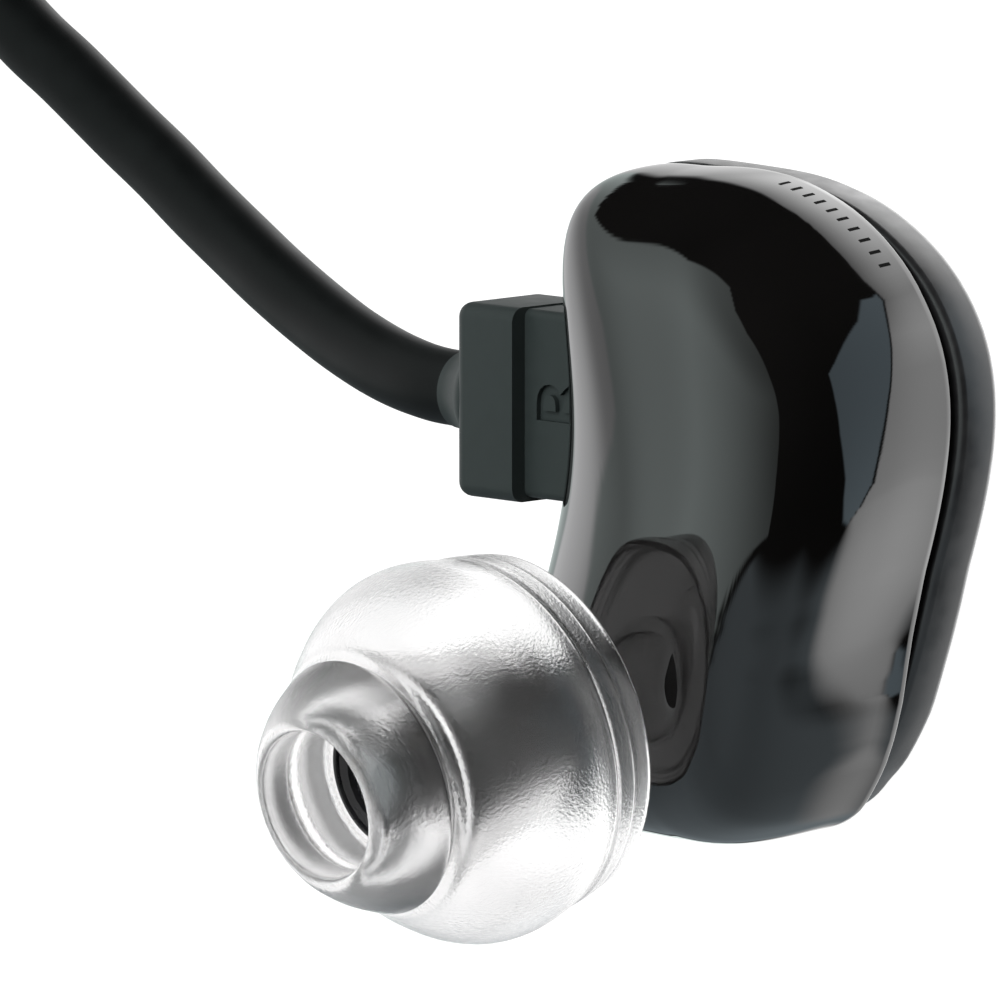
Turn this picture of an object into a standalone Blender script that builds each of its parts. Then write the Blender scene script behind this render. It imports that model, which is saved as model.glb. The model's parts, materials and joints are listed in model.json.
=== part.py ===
"""In-ear monitor for the right ear, with its detachable over-ear cable.

Metres, +Z up. The monitor lies on the flat outer face of its faceplate, whose middle is the
origin. +Y runs along the bean-shaped shell towards its larger lobe, -X is the hollow side that
the cable plugs into, and the nozzle rises from the shell close to +Z.
"""
import math

import bmesh
import bpy
from mathutils import Vector

MM = 0.001

# Bean-shaped shell
HALF_LENGTH = 11.32 * MM
HALF_WIDTH = 7.05 * MM
DOME_HEIGHT = 9.5 * MM
OUTLINE_POWER = 3.8
CORNER_SOFTENING = 0.5
DOME_POWER = 3.0
SPINE_X = 0.72 * MM
SPINE_SKEW = 0.19
SPINE_BEND = 4.66 * MM
SPINE_BEND_CUBIC = 4.01 * MM
BEND_CENTRE = 1.63 * MM
LEAN_X = 0.22
LEAN_Y = -0.21
WALL = 0.9 * MM
SEAM_Z = 2.01 * MM
GROOVE = 0.45 * MM
PLATE_PROUD = 0.1 * MM
PLATE_TOP = SEAM_Z - GROOVE / 2

# Nozzle and ear tip, on one axis that starts at the shell's surface
NOZZLE_ROOT = Vector((-0.4, -6.3, 11.8)) * MM
NOZZLE_AXIS = Vector((-0.065, -0.192, 0.979)).normalized()
NOZZLE_LENGTH = 9.3 * MM
NOZZLE_RADIUS = 2.4 * MM
NOZZLE_BORE = 1.9 * MM
COLLAR_RADIUS = 2.95 * MM
TIP_FRONT = 12.2 * MM

# Dynamic driver, behind the nozzle on the same axis
DRIVER_FRONT = -3.2 * MM
DRIVER_RADIUS = 3.8 * MM

# Two-pin plug on the hollow side
PLUG_Y = 2.93 * MM
PLUG_Z = 5.2 * MM
PLUG_HALF_HEIGHT = 3.42 * MM
PLUG_HALF_THICKNESS = 2.1 * MM
PLUG_OUTER_X = -10.81 * MM
PLUG_STEP_X = -8.07 * MM
PLUG_SEAT_X = -6.75 * MM
NOSE_END_X = -4.6 * MM
PIN_END_X = -1.6 * MM
PIN_RADIUS = 0.39 * MM
PIN_PITCH = 2.0 * MM

# Cable: a thick ear hook, then a thin lead wound into a coil, then a 3.5 mm jack
HOOK_RADIUS = 1.33 * MM
LEAD_RADIUS = 0.75 * MM
COIL_CENTRE = Vector((-28.0, 34.5, 0.0)) * MM
COIL_INNER = 5.0 * MM
COIL_OUTER = 12.5 * MM
COIL_BOTTOM = 0.45 * MM
COIL_TOP = 6.45 * MM
JACK_START = Vector((-5.0, 26.0, 3.05)) * MM

FIT_GAP = 0.08 * MM
ROUND_STEPS = 32
SMALL_STEPS = 20

HOOK_ROUTE = [
    (-12.1, 2.93, 5.2), (-14.27, 3.0, 5.05), (-16.7, 3.3, 4.6), (-19.3, 3.86, 4.0),
    (-21.8, 4.61, 3.4), (-24.4, 5.58, 2.85), (-26.9, 6.63, 2.3), (-29.3, 7.77, 1.9),
    (-31.5, 8.97, 1.62), (-33.7, 10.15, 1.45), (-36.6, 11.92, 1.4), (-39.1, 13.4, 1.4),
    (-43.0, 16.3, 1.4), (-46.3, 20.2, 1.4), (-48.3, 25.2, 1.4), (-48.9, 30.6, 1.4),
    (-48.4, 35.2, 1.4), (-46.9, 39.0, 1.4),
]
LEAD_ROUTE = [
    (-44.88, 44.12, 1.36), (-44.3, 45.35, 1.15), (-43.2, 46.5, 0.9), (-41.3, 47.4, 0.78),
    (-38.8, 47.6, 0.76), (-36.0, 47.1, 0.76),
]
TAIL_ROUTE = [
    (-14.86, 30.98, 5.1), (-13.4, 28.4, 4.3), (-11.0, 26.7, 3.5), (-8.0, 26.1, 3.1),
    (-5.3, 26.0, 3.05),
]

for old in list(bpy.data.objects):
    bpy.data.objects.remove(old, do_unlink=True)

PARTS = bpy.data.collections.new("in_ear_monitor")
CUTTERS = bpy.data.collections.new("cutters")
bpy.context.scene.collection.children.link(PARTS)
bpy.context.scene.collection.children.link(CUTTERS)


def make_material(name, colour, roughness, metallic=0.0, alpha=1.0):
    material = bpy.data.materials.new(name)
    material.use_nodes = True
    shader = material.node_tree.nodes["Principled BSDF"]
    shader.inputs["Base Color"].default_value = (*colour, 1.0)
    shader.inputs["Roughness"].default_value = roughness
    shader.inputs["Metallic"].default_value = metallic
    shader.inputs["Alpha"].default_value = alpha
    return material


GLOSS_BLACK = make_material("gloss_black", (0.012, 0.012, 0.013), 0.08)
SATIN_BLACK = make_material("satin_black", (0.02, 0.02, 0.021), 0.4)
DARK_RUBBER = make_material("dark_rubber", (0.015, 0.015, 0.016), 0.7)
PLUG_PLASTIC = make_material("plug_plastic", (0.045, 0.053, 0.052), 0.5)
CABLE_BLACK = make_material("cable_black", (0.012, 0.013, 0.013), 0.45)
CLEAR_SILICONE = make_material("clear_silicone", (0.9, 0.9, 0.92), 0.15, alpha=0.4)
STEEL = make_material("steel", (0.6, 0.6, 0.62), 0.3, 1.0)
GOLD = make_material("gold", (0.9, 0.68, 0.3), 0.25, 1.0)
COPPER = make_material("copper", (0.75, 0.4, 0.25), 0.35, 1.0)
MAGNET = make_material("magnet_plating", (0.45, 0.45, 0.47), 0.35, 1.0)
FILM = make_material("polymer_film", (0.6, 0.6, 0.55), 0.25)
DAMPING_FOAM = make_material("damping_foam", (0.08, 0.08, 0.08), 0.95)
WHITE_FABRIC = make_material("white_fabric", (0.75, 0.75, 0.72), 0.9)
BOARD_GREEN = make_material("board_green", (0.02, 0.12, 0.06), 0.45)
CREAM_PLASTIC = make_material("cream_plastic", (0.55, 0.52, 0.45), 0.5)
RED_WIRE = make_material("red_wire", (0.5, 0.03, 0.03), 0.4)


def add_object(name, mesh, material=None, parent=None):
    piece = bpy.data.objects.new(name, mesh)
    PARTS.objects.link(piece)
    if parent is not None:
        piece.parent = parent
    if material is not None:
        mesh.materials.clear()
        mesh.materials.append(material)
    return piece


def as_cutter(piece):
    """Keep a shape as a Boolean operand only: hidden, drawn as wire, in its own collection."""
    for collection in list(piece.users_collection):
        collection.objects.unlink(piece)
    CUTTERS.objects.link(piece)
    piece.hide_render = True
    piece.display_type = "WIRE"
    return piece


def combine(piece, operand, operation):
    modifier = piece.modifiers.new(operand.name, "BOOLEAN")
    modifier.operation = operation
    modifier.object = as_cutter(operand)


def bevel(piece, width, segments=2, angle=40.0):
    modifier = piece.modifiers.new("rounded_edges", "BEVEL")
    modifier.width = width
    modifier.segments = segments
    modifier.limit_method = "ANGLE"
    modifier.angle_limit = math.radians(angle)


def box(name, low, high, material=None, round_edges=0.0, segments=2):
    mesh = bpy.data.meshes.new(name)
    shape = bmesh.new()
    bmesh.ops.create_cube(shape, size=1.0)
    size = [high[axis] - low[axis] for axis in range(3)]
    bmesh.ops.scale(shape, vec=size, verts=shape.verts)
    shape.to_mesh(mesh)
    shape.free()
    piece = add_object(name, mesh, material)
    piece.location = [(low[axis] + high[axis]) / 2 for axis in range(3)]
    if round_edges:
        bevel(piece, round_edges, segments)
    return piece


def axis_empty(name, origin, direction):
    """Empty whose local +Z is the axis of the turned pieces parented to it."""
    empty = bpy.data.objects.new(name, None)
    PARTS.objects.link(empty)
    turn = Vector((0, 0, 1)).rotation_difference(Vector(direction))
    empty.rotation_mode = "QUATERNION"
    empty.rotation_quaternion = turn
    empty.location = origin
    return empty


def turned(name, profile, material=None, parent=None, steps=ROUND_STEPS, closed=True):
    """Turn a profile of (radius, height) points, given down its outer side, about local Z."""
    mesh = bpy.data.meshes.new(name)
    points = [(radius, 0.0, height) for radius, height in profile]
    edges = [(index, index + 1) for index in range(len(points) - 1)]
    if closed:
        edges.append((len(points) - 1, 0))
    mesh.from_pydata(points, edges, [])
    piece = add_object(name, mesh, material, parent)
    screw = piece.modifiers.new("turned", "SCREW")
    screw.axis = "Z"
    screw.steps = steps
    screw.render_steps = steps
    screw.use_merge_vertices = True
    screw.merge_threshold = 0.00001
    screw.use_smooth_shade = True
    return piece


def disc(name, radius, low, high, material=None, parent=None, steps=ROUND_STEPS):
    profile = [(0.0, high), (radius, high), (radius, low), (0.0, low)]
    return turned(name, profile, material, parent, steps, closed=False)


def ring(name, outer, inner, low, high, material=None, parent=None, steps=ROUND_STEPS):
    profile = [(outer, high), (outer, low), (inner, low), (inner, high)]
    return turned(name, profile, material, parent, steps)


def curve_as_mesh(curve_object):
    """Replace a curve or text object by its evaluated mesh, with its caps welded on."""
    bpy.context.view_layer.update()
    graph = bpy.context.evaluated_depsgraph_get()
    mesh = bpy.data.meshes.new_from_object(curve_object.evaluated_get(graph))
    mesh.name = curve_object.name
    shape = bmesh.new()
    shape.from_mesh(mesh)
    bmesh.ops.remove_doubles(shape, verts=shape.verts, dist=0.000001)
    bmesh.ops.recalc_face_normals(shape, faces=shape.faces)
    shape.to_mesh(mesh)
    shape.free()
    name = curve_object.name
    place = curve_object.matrix_world.copy()
    curve = curve_object.data
    bpy.data.objects.remove(curve_object, do_unlink=True)
    bpy.data.curves.remove(curve)
    piece = add_object(name, mesh)
    piece.matrix_world = place
    return piece


def power_circle(angle, power):
    """Point of the curve |x|^power + |y|^power = 1 in the given direction."""
    across = math.cos(angle)
    along = math.sin(angle)
    reach = (abs(across) ** power + abs(along) ** power) ** (-1.0 / power)
    return reach * across, reach * along


def bean_point(angle, radius=1.0, height=0.0, grow=0.0):
    """Point of the bean: radius 1 on its outline and 0 on its spine, height above the seam.

    The corner of the smaller lobe away from the plug is rounder than the others.
    """
    corner = max(0.0, math.cos(angle)) * max(0.0, -math.sin(angle))
    across, along = power_circle(angle, OUTLINE_POWER - 2 * CORNER_SOFTENING * corner)
    y = (HALF_LENGTH + grow) * radius * along
    bend = (y - BEND_CENTRE) / HALF_LENGTH
    spine = SPINE_X + SPINE_SKEW * y - SPINE_BEND * bend ** 2 - SPINE_BEND_CUBIC * bend ** 3
    x = (HALF_WIDTH + grow) * radius * across + spine
    lean = height ** 2 / DOME_HEIGHT
    return Vector((x + LEAN_X * lean, y + LEAN_Y * lean, SEAM_Z + height))


def bean_slab(name, low, high, grows, points=60):
    """Flat bean between two heights: one outline, or an outer and an inner one for a ring."""
    curve = bpy.data.curves.new(name, "CURVE")
    curve.dimensions = "2D"
    curve.fill_mode = "BOTH"
    curve.extrude = (high - low) / 2
    for grow in grows:
        spline = curve.splines.new("POLY")
        spline.points.add(points - 1)
        spline.use_cyclic_u = True
        for index, point in enumerate(spline.points):
            place = bean_point(2 * math.pi * index / points, grow=grow)
            point.co = (place.x, place.y, 0.0, 1.0)
    piece = bpy.data.objects.new(name, curve)
    PARTS.objects.link(piece)
    piece.location.z = (low + high) / 2
    return curve_as_mesh(piece)


def smooth_route(route, spacing):
    """Points at an even spacing on the Catmull-Rom curve through the route, in metres."""
    knots = [Vector(point) * MM for point in route]
    knots = [2 * knots[0] - knots[1], *knots, 2 * knots[-1] - knots[-2]]
    fine = []
    for before, start, end, after in zip(knots, knots[1:], knots[2:], knots[3:]):
        for step in range(20):
            t = step / 20
            fine.append(0.5 * (2 * start + (end - before) * t
                               + (2 * before - 5 * start + 4 * end - after) * t ** 2
                               + (3 * start - before - 3 * end + after) * t ** 3))
    fine.append(knots[-2])
    length = sum((b - a).length for a, b in zip(fine, fine[1:]))
    count = max(2, round(length / spacing))
    kept = [fine[0]]
    walked = 0.0
    for a, b in zip(fine, fine[1:]):
        walked += (b - a).length
        if walked >= length * len(kept) / count and len(kept) < count:
            kept.append(b)
    kept.append(fine[-1])
    return kept


def tube(name, points, radius, material):
    curve = bpy.data.curves.new(name, "CURVE")
    curve.dimensions = "3D"
    curve.bevel_depth = radius
    curve.bevel_resolution = 2
    curve.use_fill_caps = True
    spline = curve.splines.new("POLY")
    spline.points.add(len(points) - 1)
    for point, place in zip(spline.points, points):
        point.co = (*place, 1.0)
    curve.materials.append(material)
    piece = bpy.data.objects.new(name, curve)
    PARTS.objects.link(piece)
    return piece


def smooth_shade(piece, angle=35.0):
    piece.data.shade_smooth()
    piece.data.set_sharp_from_angle(angle=math.radians(angle))


# ---------------------------------------------------------------- casing

def dome_surface(name):
    """Open outer surface of the dome: the top half of a sphere, drawn onto the bean."""
    mesh = bpy.data.meshes.new(name)
    shape = bmesh.new()
    bmesh.ops.create_uvsphere(shape, u_segments=48, v_segments=24, radius=1.0)
    low = [vert for vert in shape.verts if vert.co.z < -0.0001]
    bmesh.ops.delete(shape, geom=low, context="VERTS")
    for vert in shape.verts:
        rise = math.asin(max(0.0, min(1.0, vert.co.z)))
        radius, height = power_circle(rise, DOME_POWER)
        angle = math.atan2(vert.co.y, vert.co.x)
        vert.co = bean_point(angle, radius, GROOVE / 2 + DOME_HEIGHT * height)
    shape.to_mesh(mesh)
    shape.free()
    return add_object(name, mesh)


def make_inner_shell(nozzle_axis):
    shell = dome_surface("inner_shell")
    shell.data.materials.append(GLOSS_BLACK)
    wall = shell.modifiers.new("wall", "SOLIDIFY")
    wall.thickness = WALL
    wall.offset = -1.0
    wall.use_even_offset = True
    boss = disc("nozzle_boss", COLLAR_RADIUS + 0.75 * MM, -2.2 * MM, -0.5 * MM,
                parent=nozzle_axis)
    combine(shell, boss, "UNION")
    seat_radius = COLLAR_RADIUS + FIT_GAP
    hole_radius = NOZZLE_RADIUS + 2 * FIT_GAP
    seat = turned("nozzle_seat", [
        (0.0, 4 * MM), (seat_radius, 4 * MM), (seat_radius, -0.6 * MM), (hole_radius, -0.6 * MM),
        (hole_radius, -4 * MM), (0.0, -4 * MM),
    ], parent=nozzle_axis, closed=False)
    combine(shell, seat, "DIFFERENCE")
    slot = box("plug_slot", (-9 * MM, PLUG_Y - 2.4 * MM, PLUG_Z - 1.15 * MM),
               (-3.0 * MM, PLUG_Y + 2.4 * MM, PLUG_Z + 1.15 * MM))
    combine(shell, slot, "DIFFERENCE")
    vent_axis = axis_empty("vent_axis", Vector((-6.0, -2.6, 5.2)) * MM, (-1, 0, 0))
    vent = disc("vent_hole", 0.4 * MM, -2 * MM, 3 * MM, parent=vent_axis, steps=16)
    combine(shell, vent, "DIFFERENCE")
    smooth_shade(shell)
    return vent_axis


def make_faceplate():
    plate = bean_slab("faceplate", 0.0, PLATE_TOP, [PLATE_PROUD])
    plate.data.materials.append(SATIN_BLACK)
    bevel(plate, 0.32 * MM, 2)
    tongue = bean_slab("faceplate_tongue", 1.2 * MM, 3.1 * MM, [-1.32 * MM, -2.3 * MM])
    combine(plate, tongue, "UNION")
    pocket = bean_slab("faceplate_pocket", 0.9 * MM, 5.0 * MM, [-1.9 * MM])
    combine(plate, pocket, "DIFFERENCE")
    smooth_shade(plate)


def make_seam_gasket():
    gap = 0.05 * MM
    gasket = bean_slab("seam_gasket", PLATE_TOP + gap, SEAM_Z + GROOVE / 2 - gap,
                       [-0.35 * MM, -0.95 * MM])
    gasket.data.materials.append(DARK_RUBBER)
    smooth_shade(gasket)


def make_vent_screen(vent_axis):
    disc("vent_screen", 0.8 * MM, -1.55 * MM, -1.4 * MM, STEEL, vent_axis, 16)


# ---------------------------------------------------------------- nozzle

def make_nozzle(nozzle_axis):
    mouth = NOZZLE_LENGTH
    profile = [
        (NOZZLE_RADIUS - 0.1 * MM, mouth), (NOZZLE_RADIUS + 0.02 * MM, mouth - 0.12 * MM),
        (NOZZLE_RADIUS + 0.08 * MM, mouth - 0.35 * MM), (NOZZLE_RADIUS + 0.08 * MM, mouth - 0.9 * MM),
        (NOZZLE_RADIUS - 0.05 * MM, mouth - 1.2 * MM), (NOZZLE_RADIUS - 0.05 * MM, 1.0 * MM),
        (COLLAR_RADIUS - 0.25 * MM, 0.8 * MM), (COLLAR_RADIUS, 0.55 * MM),
        (COLLAR_RADIUS, -0.52 * MM), (NOZZLE_RADIUS, -0.52 * MM), (NOZZLE_RADIUS, -2.4 * MM),
        (NOZZLE_BORE, -2.4 * MM), (NOZZLE_BORE, mouth - 0.55 * MM),
        (NOZZLE_RADIUS - 0.22 * MM, mouth - 0.55 * MM), (NOZZLE_RADIUS - 0.22 * MM, mouth),
    ]
    turned("nozzle", profile, SATIN_BLACK, nozzle_axis)


def make_nozzle_filling(nozzle_axis):
    mouth = NOZZLE_LENGTH
    disc("nozzle_mesh", 2.1 * MM, mouth - 0.5 * MM, mouth - 0.4 * MM, STEEL, nozzle_axis, 24)
    ring("mesh_ring", 2.12 * MM, 1.7 * MM, mouth - 0.34 * MM, mouth - 0.1 * MM, SATIN_BLACK,
         nozzle_axis, 24)
    disc("acoustic_damper", NOZZLE_BORE - FIT_GAP, 5.2 * MM, 6.8 * MM, DAMPING_FOAM,
         nozzle_axis, 24)


def make_ear_tip(nozzle_axis):
    """Bell-shaped silicone tip: (radius, depth behind its front), down the outside and back."""
    outside = [
        (2.78, 0.0), (3.15, 0.12), (3.5, 0.45), (3.95, 1.05), (4.3, 1.7), (4.5, 2.15),
        (4.48, 2.35), (4.72, 2.5), (4.85, 2.75), (5.15, 3.15), (5.65, 3.75), (6.1, 4.45),
        (6.45, 5.2), (6.64, 5.95), (6.68, 6.7), (6.62, 7.5), (6.55, 8.12), (6.45, 8.2),
        (6.5, 8.3), (6.45, 9.0), (6.32, 9.6), (6.1, 10.02),
    ]
    inside = [
        (5.8, 9.95), (5.95, 9.2), (6.05, 8.2), (6.12, 7.2), (6.08, 6.2), (5.8, 5.2),
        (5.3, 4.4), (4.6, 3.75), (3.85, 3.45), (3.45, 3.7), (3.35, 4.4), (3.3, 8.6),
        (3.1, 9.0), (2.62, 9.0), (2.62, 1.1), (2.56, 0.95), (2.56, 0.15),
    ]
    profile = [(radius * MM, TIP_FRONT - depth * MM) for radius, depth in outside + inside]
    turned("ear_tip", profile, CLEAR_SILICONE, nozzle_axis)


# ---------------------------------------------------------------- driver

def make_driver(nozzle_axis):
    front = DRIVER_FRONT
    cover = disc("driver_grille", 3.6 * MM, front - 0.25 * MM, front, STEEL, nozzle_axis)
    for index in range(6):
        angle = math.radians(60 * index)
        spot = Vector((math.cos(angle), math.sin(angle), 0)) * 1.7 * MM
        hole = disc(f"grille_hole_{index}", 0.55 * MM, front - 1 * MM, front + 1 * MM,
                    parent=nozzle_axis, steps=12)
        hole.location = spot
        combine(cover, hole, "DIFFERENCE")
    basket = [
        (DRIVER_RADIUS, front - 0.35 * MM), (DRIVER_RADIUS, front - 1.7 * MM),
        (3.3 * MM, front - 2.3 * MM), (2.9 * MM, front - 2.9 * MM),
        (2.35 * MM, front - 2.9 * MM), (2.35 * MM, front - 2.3 * MM),
        (2.9 * MM, front - 1.9 * MM), (3.5 * MM, front - 1.35 * MM),
        (3.5 * MM, front - 0.35 * MM),
    ]
    turned("driver_basket", basket, SATIN_BLACK, nozzle_axis)
    surround = [
        (3.42 * MM, front - 0.75 * MM), (3.42 * MM, front - 0.85 * MM),
        (3.1 * MM, front - 0.7 * MM), (2.85 * MM, front - 0.72 * MM),
        (2.66 * MM, front - 0.85 * MM), (2.66 * MM, front - 0.75 * MM),
        (2.85 * MM, front - 0.6 * MM), (3.1 * MM, front - 0.58 * MM),
    ]
    turned("diaphragm_surround", surround, FILM, nozzle_axis)
    diaphragm = [
        (0.0, front - 0.45 * MM), (0.8 * MM, front - 0.55 * MM), (1.5 * MM, front - 0.85 * MM),
        (2.1 * MM, front - 0.7 * MM), (2.58 * MM, front - 0.78 * MM),
        (2.58 * MM, front - 0.88 * MM), (2.1 * MM, front - 0.8 * MM),
        (1.5 * MM, front - 0.97 * MM), (0.8 * MM, front - 0.67 * MM), (0.0, front - 0.56 * MM),
    ]
    turned("diaphragm", diaphragm, FILM, nozzle_axis, closed=False)
    ring("voice_coil", 1.62 * MM, 1.48 * MM, front - 2.0 * MM, front - 1.05 * MM, COPPER,
         nozzle_axis)
    disc("pole_plate", 1.35 * MM, front - 1.75 * MM, front - 1.4 * MM, STEEL, nozzle_axis, 24)
    disc("driver_magnet", 1.28 * MM, front - 2.6 * MM, front - 1.8 * MM, MAGNET, nozzle_axis, 24)
    yoke = [
        (0.0, front - 2.65 * MM), (1.78 * MM, front - 2.65 * MM), (1.78 * MM, front - 1.4 * MM),
        (2.2 * MM, front - 1.4 * MM), (2.2 * MM, front - 3.05 * MM), (0.0, front - 3.05 * MM),
    ]
    turned("driver_yoke", yoke, STEEL, nozzle_axis, closed=False)
    ring("rear_damper", 2.88 * MM, 2.4 * MM, front - 3.08 * MM, front - 2.96 * MM, WHITE_FABRIC,
         nozzle_axis, 24)
    ring("driver_gasket", 4.4 * MM, DRIVER_RADIUS + FIT_GAP, front - 1.2 * MM, front - 0.5 * MM,
         DARK_RUBBER, nozzle_axis)
    board = box("terminal_board", (-1.1 * MM, -0.8 * MM, front - 3.4 * MM),
                (1.1 * MM, 0.8 * MM, front - 3.12 * MM), BOARD_GREEN)
    board.parent = nozzle_axis


# ---------------------------------------------------------------- socket and wiring

def pin_places():
    return [PLUG_Y - PIN_PITCH / 2, PLUG_Y + PIN_PITCH / 2]


def make_socket():
    housing = box("socket_housing", (-4.1 * MM, PLUG_Y - 2.5 * MM, PLUG_Z - 1.5 * MM),
                  (-1.0 * MM, PLUG_Y + 2.5 * MM, PLUG_Z + 1.4 * MM), SATIN_BLACK, 0.2 * MM, 1)
    for index, y in enumerate(pin_places(), start=1):
        contact_axis = axis_empty(f"contact_axis_{index}", (0, y, PLUG_Z), (-1, 0, 0))
        hole = disc(f"contact_hole_{index}", 0.8 * MM, 0.5 * MM, 5 * MM, parent=contact_axis,
                    steps=16)
        combine(housing, hole, "DIFFERENCE")
        ring(f"socket_contact_{index}", 0.72 * MM, PIN_RADIUS + 0.06 * MM, 1.1 * MM, 4.0 * MM,
             GOLD, contact_axis, 16)


def make_driver_wires():
    """Two enamelled wires from the socket's contacts to the driver's terminal board."""
    middles = [
        [(0.0, 1.6, 4.4), (0.2, -0.5, 3.3), (-0.5, -3.2, 3.2)],
        [(0.6, 3.6, 4.4), (1.6, 0.5, 3.3), (0.8, -3.2, 3.2)],
    ]
    ends = [(-0.55, -4.9), (0.45, -4.9)]
    for index, (y, middle, end) in enumerate(zip(pin_places(), middles, ends), start=1):
        start = Vector((-1.0 * MM, y, PLUG_Z)) / MM
        route = [start + Vector((0.1, 0, 0)), *middle, (*end, 4.3), (*end, 5.1)]
        material = RED_WIRE if index == 1 else COPPER
        tube(f"driver_wire_{index}", smooth_route(route, 0.9 * MM), 0.14 * MM, material)


# ---------------------------------------------------------------- plug

def make_plug():
    low_y = PLUG_Y - PLUG_HALF_HEIGHT
    high_y = PLUG_Y + PLUG_HALF_HEIGHT
    grip = box("plug_grip", (PLUG_OUTER_X, low_y, PLUG_Z - PLUG_HALF_THICKNESS),
               (PLUG_STEP_X, high_y, PLUG_Z + PLUG_HALF_THICKNESS), PLUG_PLASTIC, 0.45 * MM, 3)
    plug_axis = axis_empty("plug_axis", (PLUG_OUTER_X, PLUG_Y, PLUG_Z), (-1, 0, 0))
    collar = turned("cable_collar", [
        (0.0, 1.05 * MM), (1.5 * MM, 1.05 * MM), (1.62 * MM, 0.9 * MM), (1.68 * MM, 0.4 * MM),
        (1.95 * MM, 0.05 * MM), (1.95 * MM, -0.8 * MM), (0.0, -0.8 * MM),
    ], parent=plug_axis, closed=False)
    combine(grip, collar, "UNION")
    smooth_shade(grip)

    recess = 0.71 * MM
    core = box("plug_core", (PLUG_STEP_X + FIT_GAP, low_y + 0.15 * MM,
                             PLUG_Z - PLUG_HALF_THICKNESS + recess),
               (PLUG_SEAT_X, high_y - 0.06 * MM, PLUG_Z + PLUG_HALF_THICKNESS - recess),
               PLUG_PLASTIC, 0.3 * MM, 2)
    nose = box("plug_nose", (PLUG_SEAT_X - 0.5 * MM, PLUG_Y - 2.25 * MM, PLUG_Z - 1.0 * MM),
               (NOSE_END_X, PLUG_Y + 2.25 * MM, PLUG_Z + 1.0 * MM))
    combine(core, nose, "UNION")
    combine(core, make_side_letter(PLUG_Z + PLUG_HALF_THICKNESS - recess), "DIFFERENCE")
    smooth_shade(core)
    for index, y in enumerate(pin_places(), start=1):
        pin_axis = axis_empty(f"pin_axis_{index}", (NOSE_END_X + 0.05 * MM, y, PLUG_Z), (1, 0, 0))
        length = PIN_END_X - NOSE_END_X - 0.05 * MM
        turned(f"plug_pin_{index}", [
            (0.0, length), (0.2 * MM, length - 0.04 * MM), (PIN_RADIUS, length - 0.35 * MM),
            (PIN_RADIUS, 0.0), (0.0, 0.0),
        ], GOLD, pin_axis, 16, closed=False)


def make_side_letter(face_z):
    """Plain letter R for the right-hand side, sunk 0.1 mm into the plug's face."""
    depth = 0.1 * MM
    text = bpy.data.curves.new("side_letter", "FONT")
    text.body = "R"
    text.size = 1.7 * MM
    text.resolution_u = 2
    text.extrude = depth
    text.align_x = "CENTER"
    text.align_y = "CENTER"
    letter = bpy.data.objects.new("side_letter", text)
    PARTS.objects.link(letter)
    letter.location = (-7.15 * MM, PLUG_Y, face_z)
    letter.rotation_euler.z = math.radians(90)
    return curve_as_mesh(letter)


# ---------------------------------------------------------------- cable

def make_cable():
    hook = smooth_route(HOOK_ROUTE, 3.2 * MM)
    tube("ear_hook", hook, HOOK_RADIUS, CABLE_BLACK)
    heading = hook[-1] - hook[-2]
    sleeve_axis = axis_empty("sleeve_axis", hook[-1], heading)
    turned("hook_end_sleeve", [
        (0.0, 5.2 * MM), (0.95 * MM, 5.2 * MM), (1.05 * MM, 4.9 * MM), (1.45 * MM, 2.2 * MM),
        (1.45 * MM, 0.6 * MM), (1.3 * MM, 0.3 * MM), (0.0, 0.3 * MM),
    ], SATIN_BLACK, sleeve_axis, SMALL_STEPS, closed=False)
    tube("lead", smooth_route(LEAD_ROUTE, 3.0 * MM), LEAD_RADIUS, CABLE_BLACK)
    tube("lead_tail", smooth_route(TAIL_ROUTE, 1.8 * MM), LEAD_RADIUS, CABLE_BLACK)
    coil = ring("lead_coil", COIL_OUTER, COIL_INNER, COIL_BOTTOM, COIL_TOP, CABLE_BLACK)
    coil.location = COIL_CENTRE


def make_coil_tie():
    """Strap once round the coil's section, on its far side."""
    thick = 0.35 * MM
    gap = 0.06 * MM
    half = 1.5 * MM
    inner_y = COIL_CENTRE.y + math.sqrt(COIL_INNER ** 2 - half ** 2) - 2 * gap
    outer_y = COIL_CENTRE.y + COIL_OUTER + 0.1 * MM
    tie = box("coil_tie", (COIL_CENTRE.x - half, inner_y - thick, 0.0),
              (COIL_CENTRE.x + half, outer_y + thick, COIL_TOP + gap + thick), DARK_RUBBER,
              0.15 * MM, 1)
    inside = box("tie_hole", (COIL_CENTRE.x - 2 * half, inner_y, COIL_BOTTOM - gap),
                 (COIL_CENTRE.x + 2 * half, outer_y, COIL_TOP + gap))
    combine(tie, inside, "DIFFERENCE")


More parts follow.
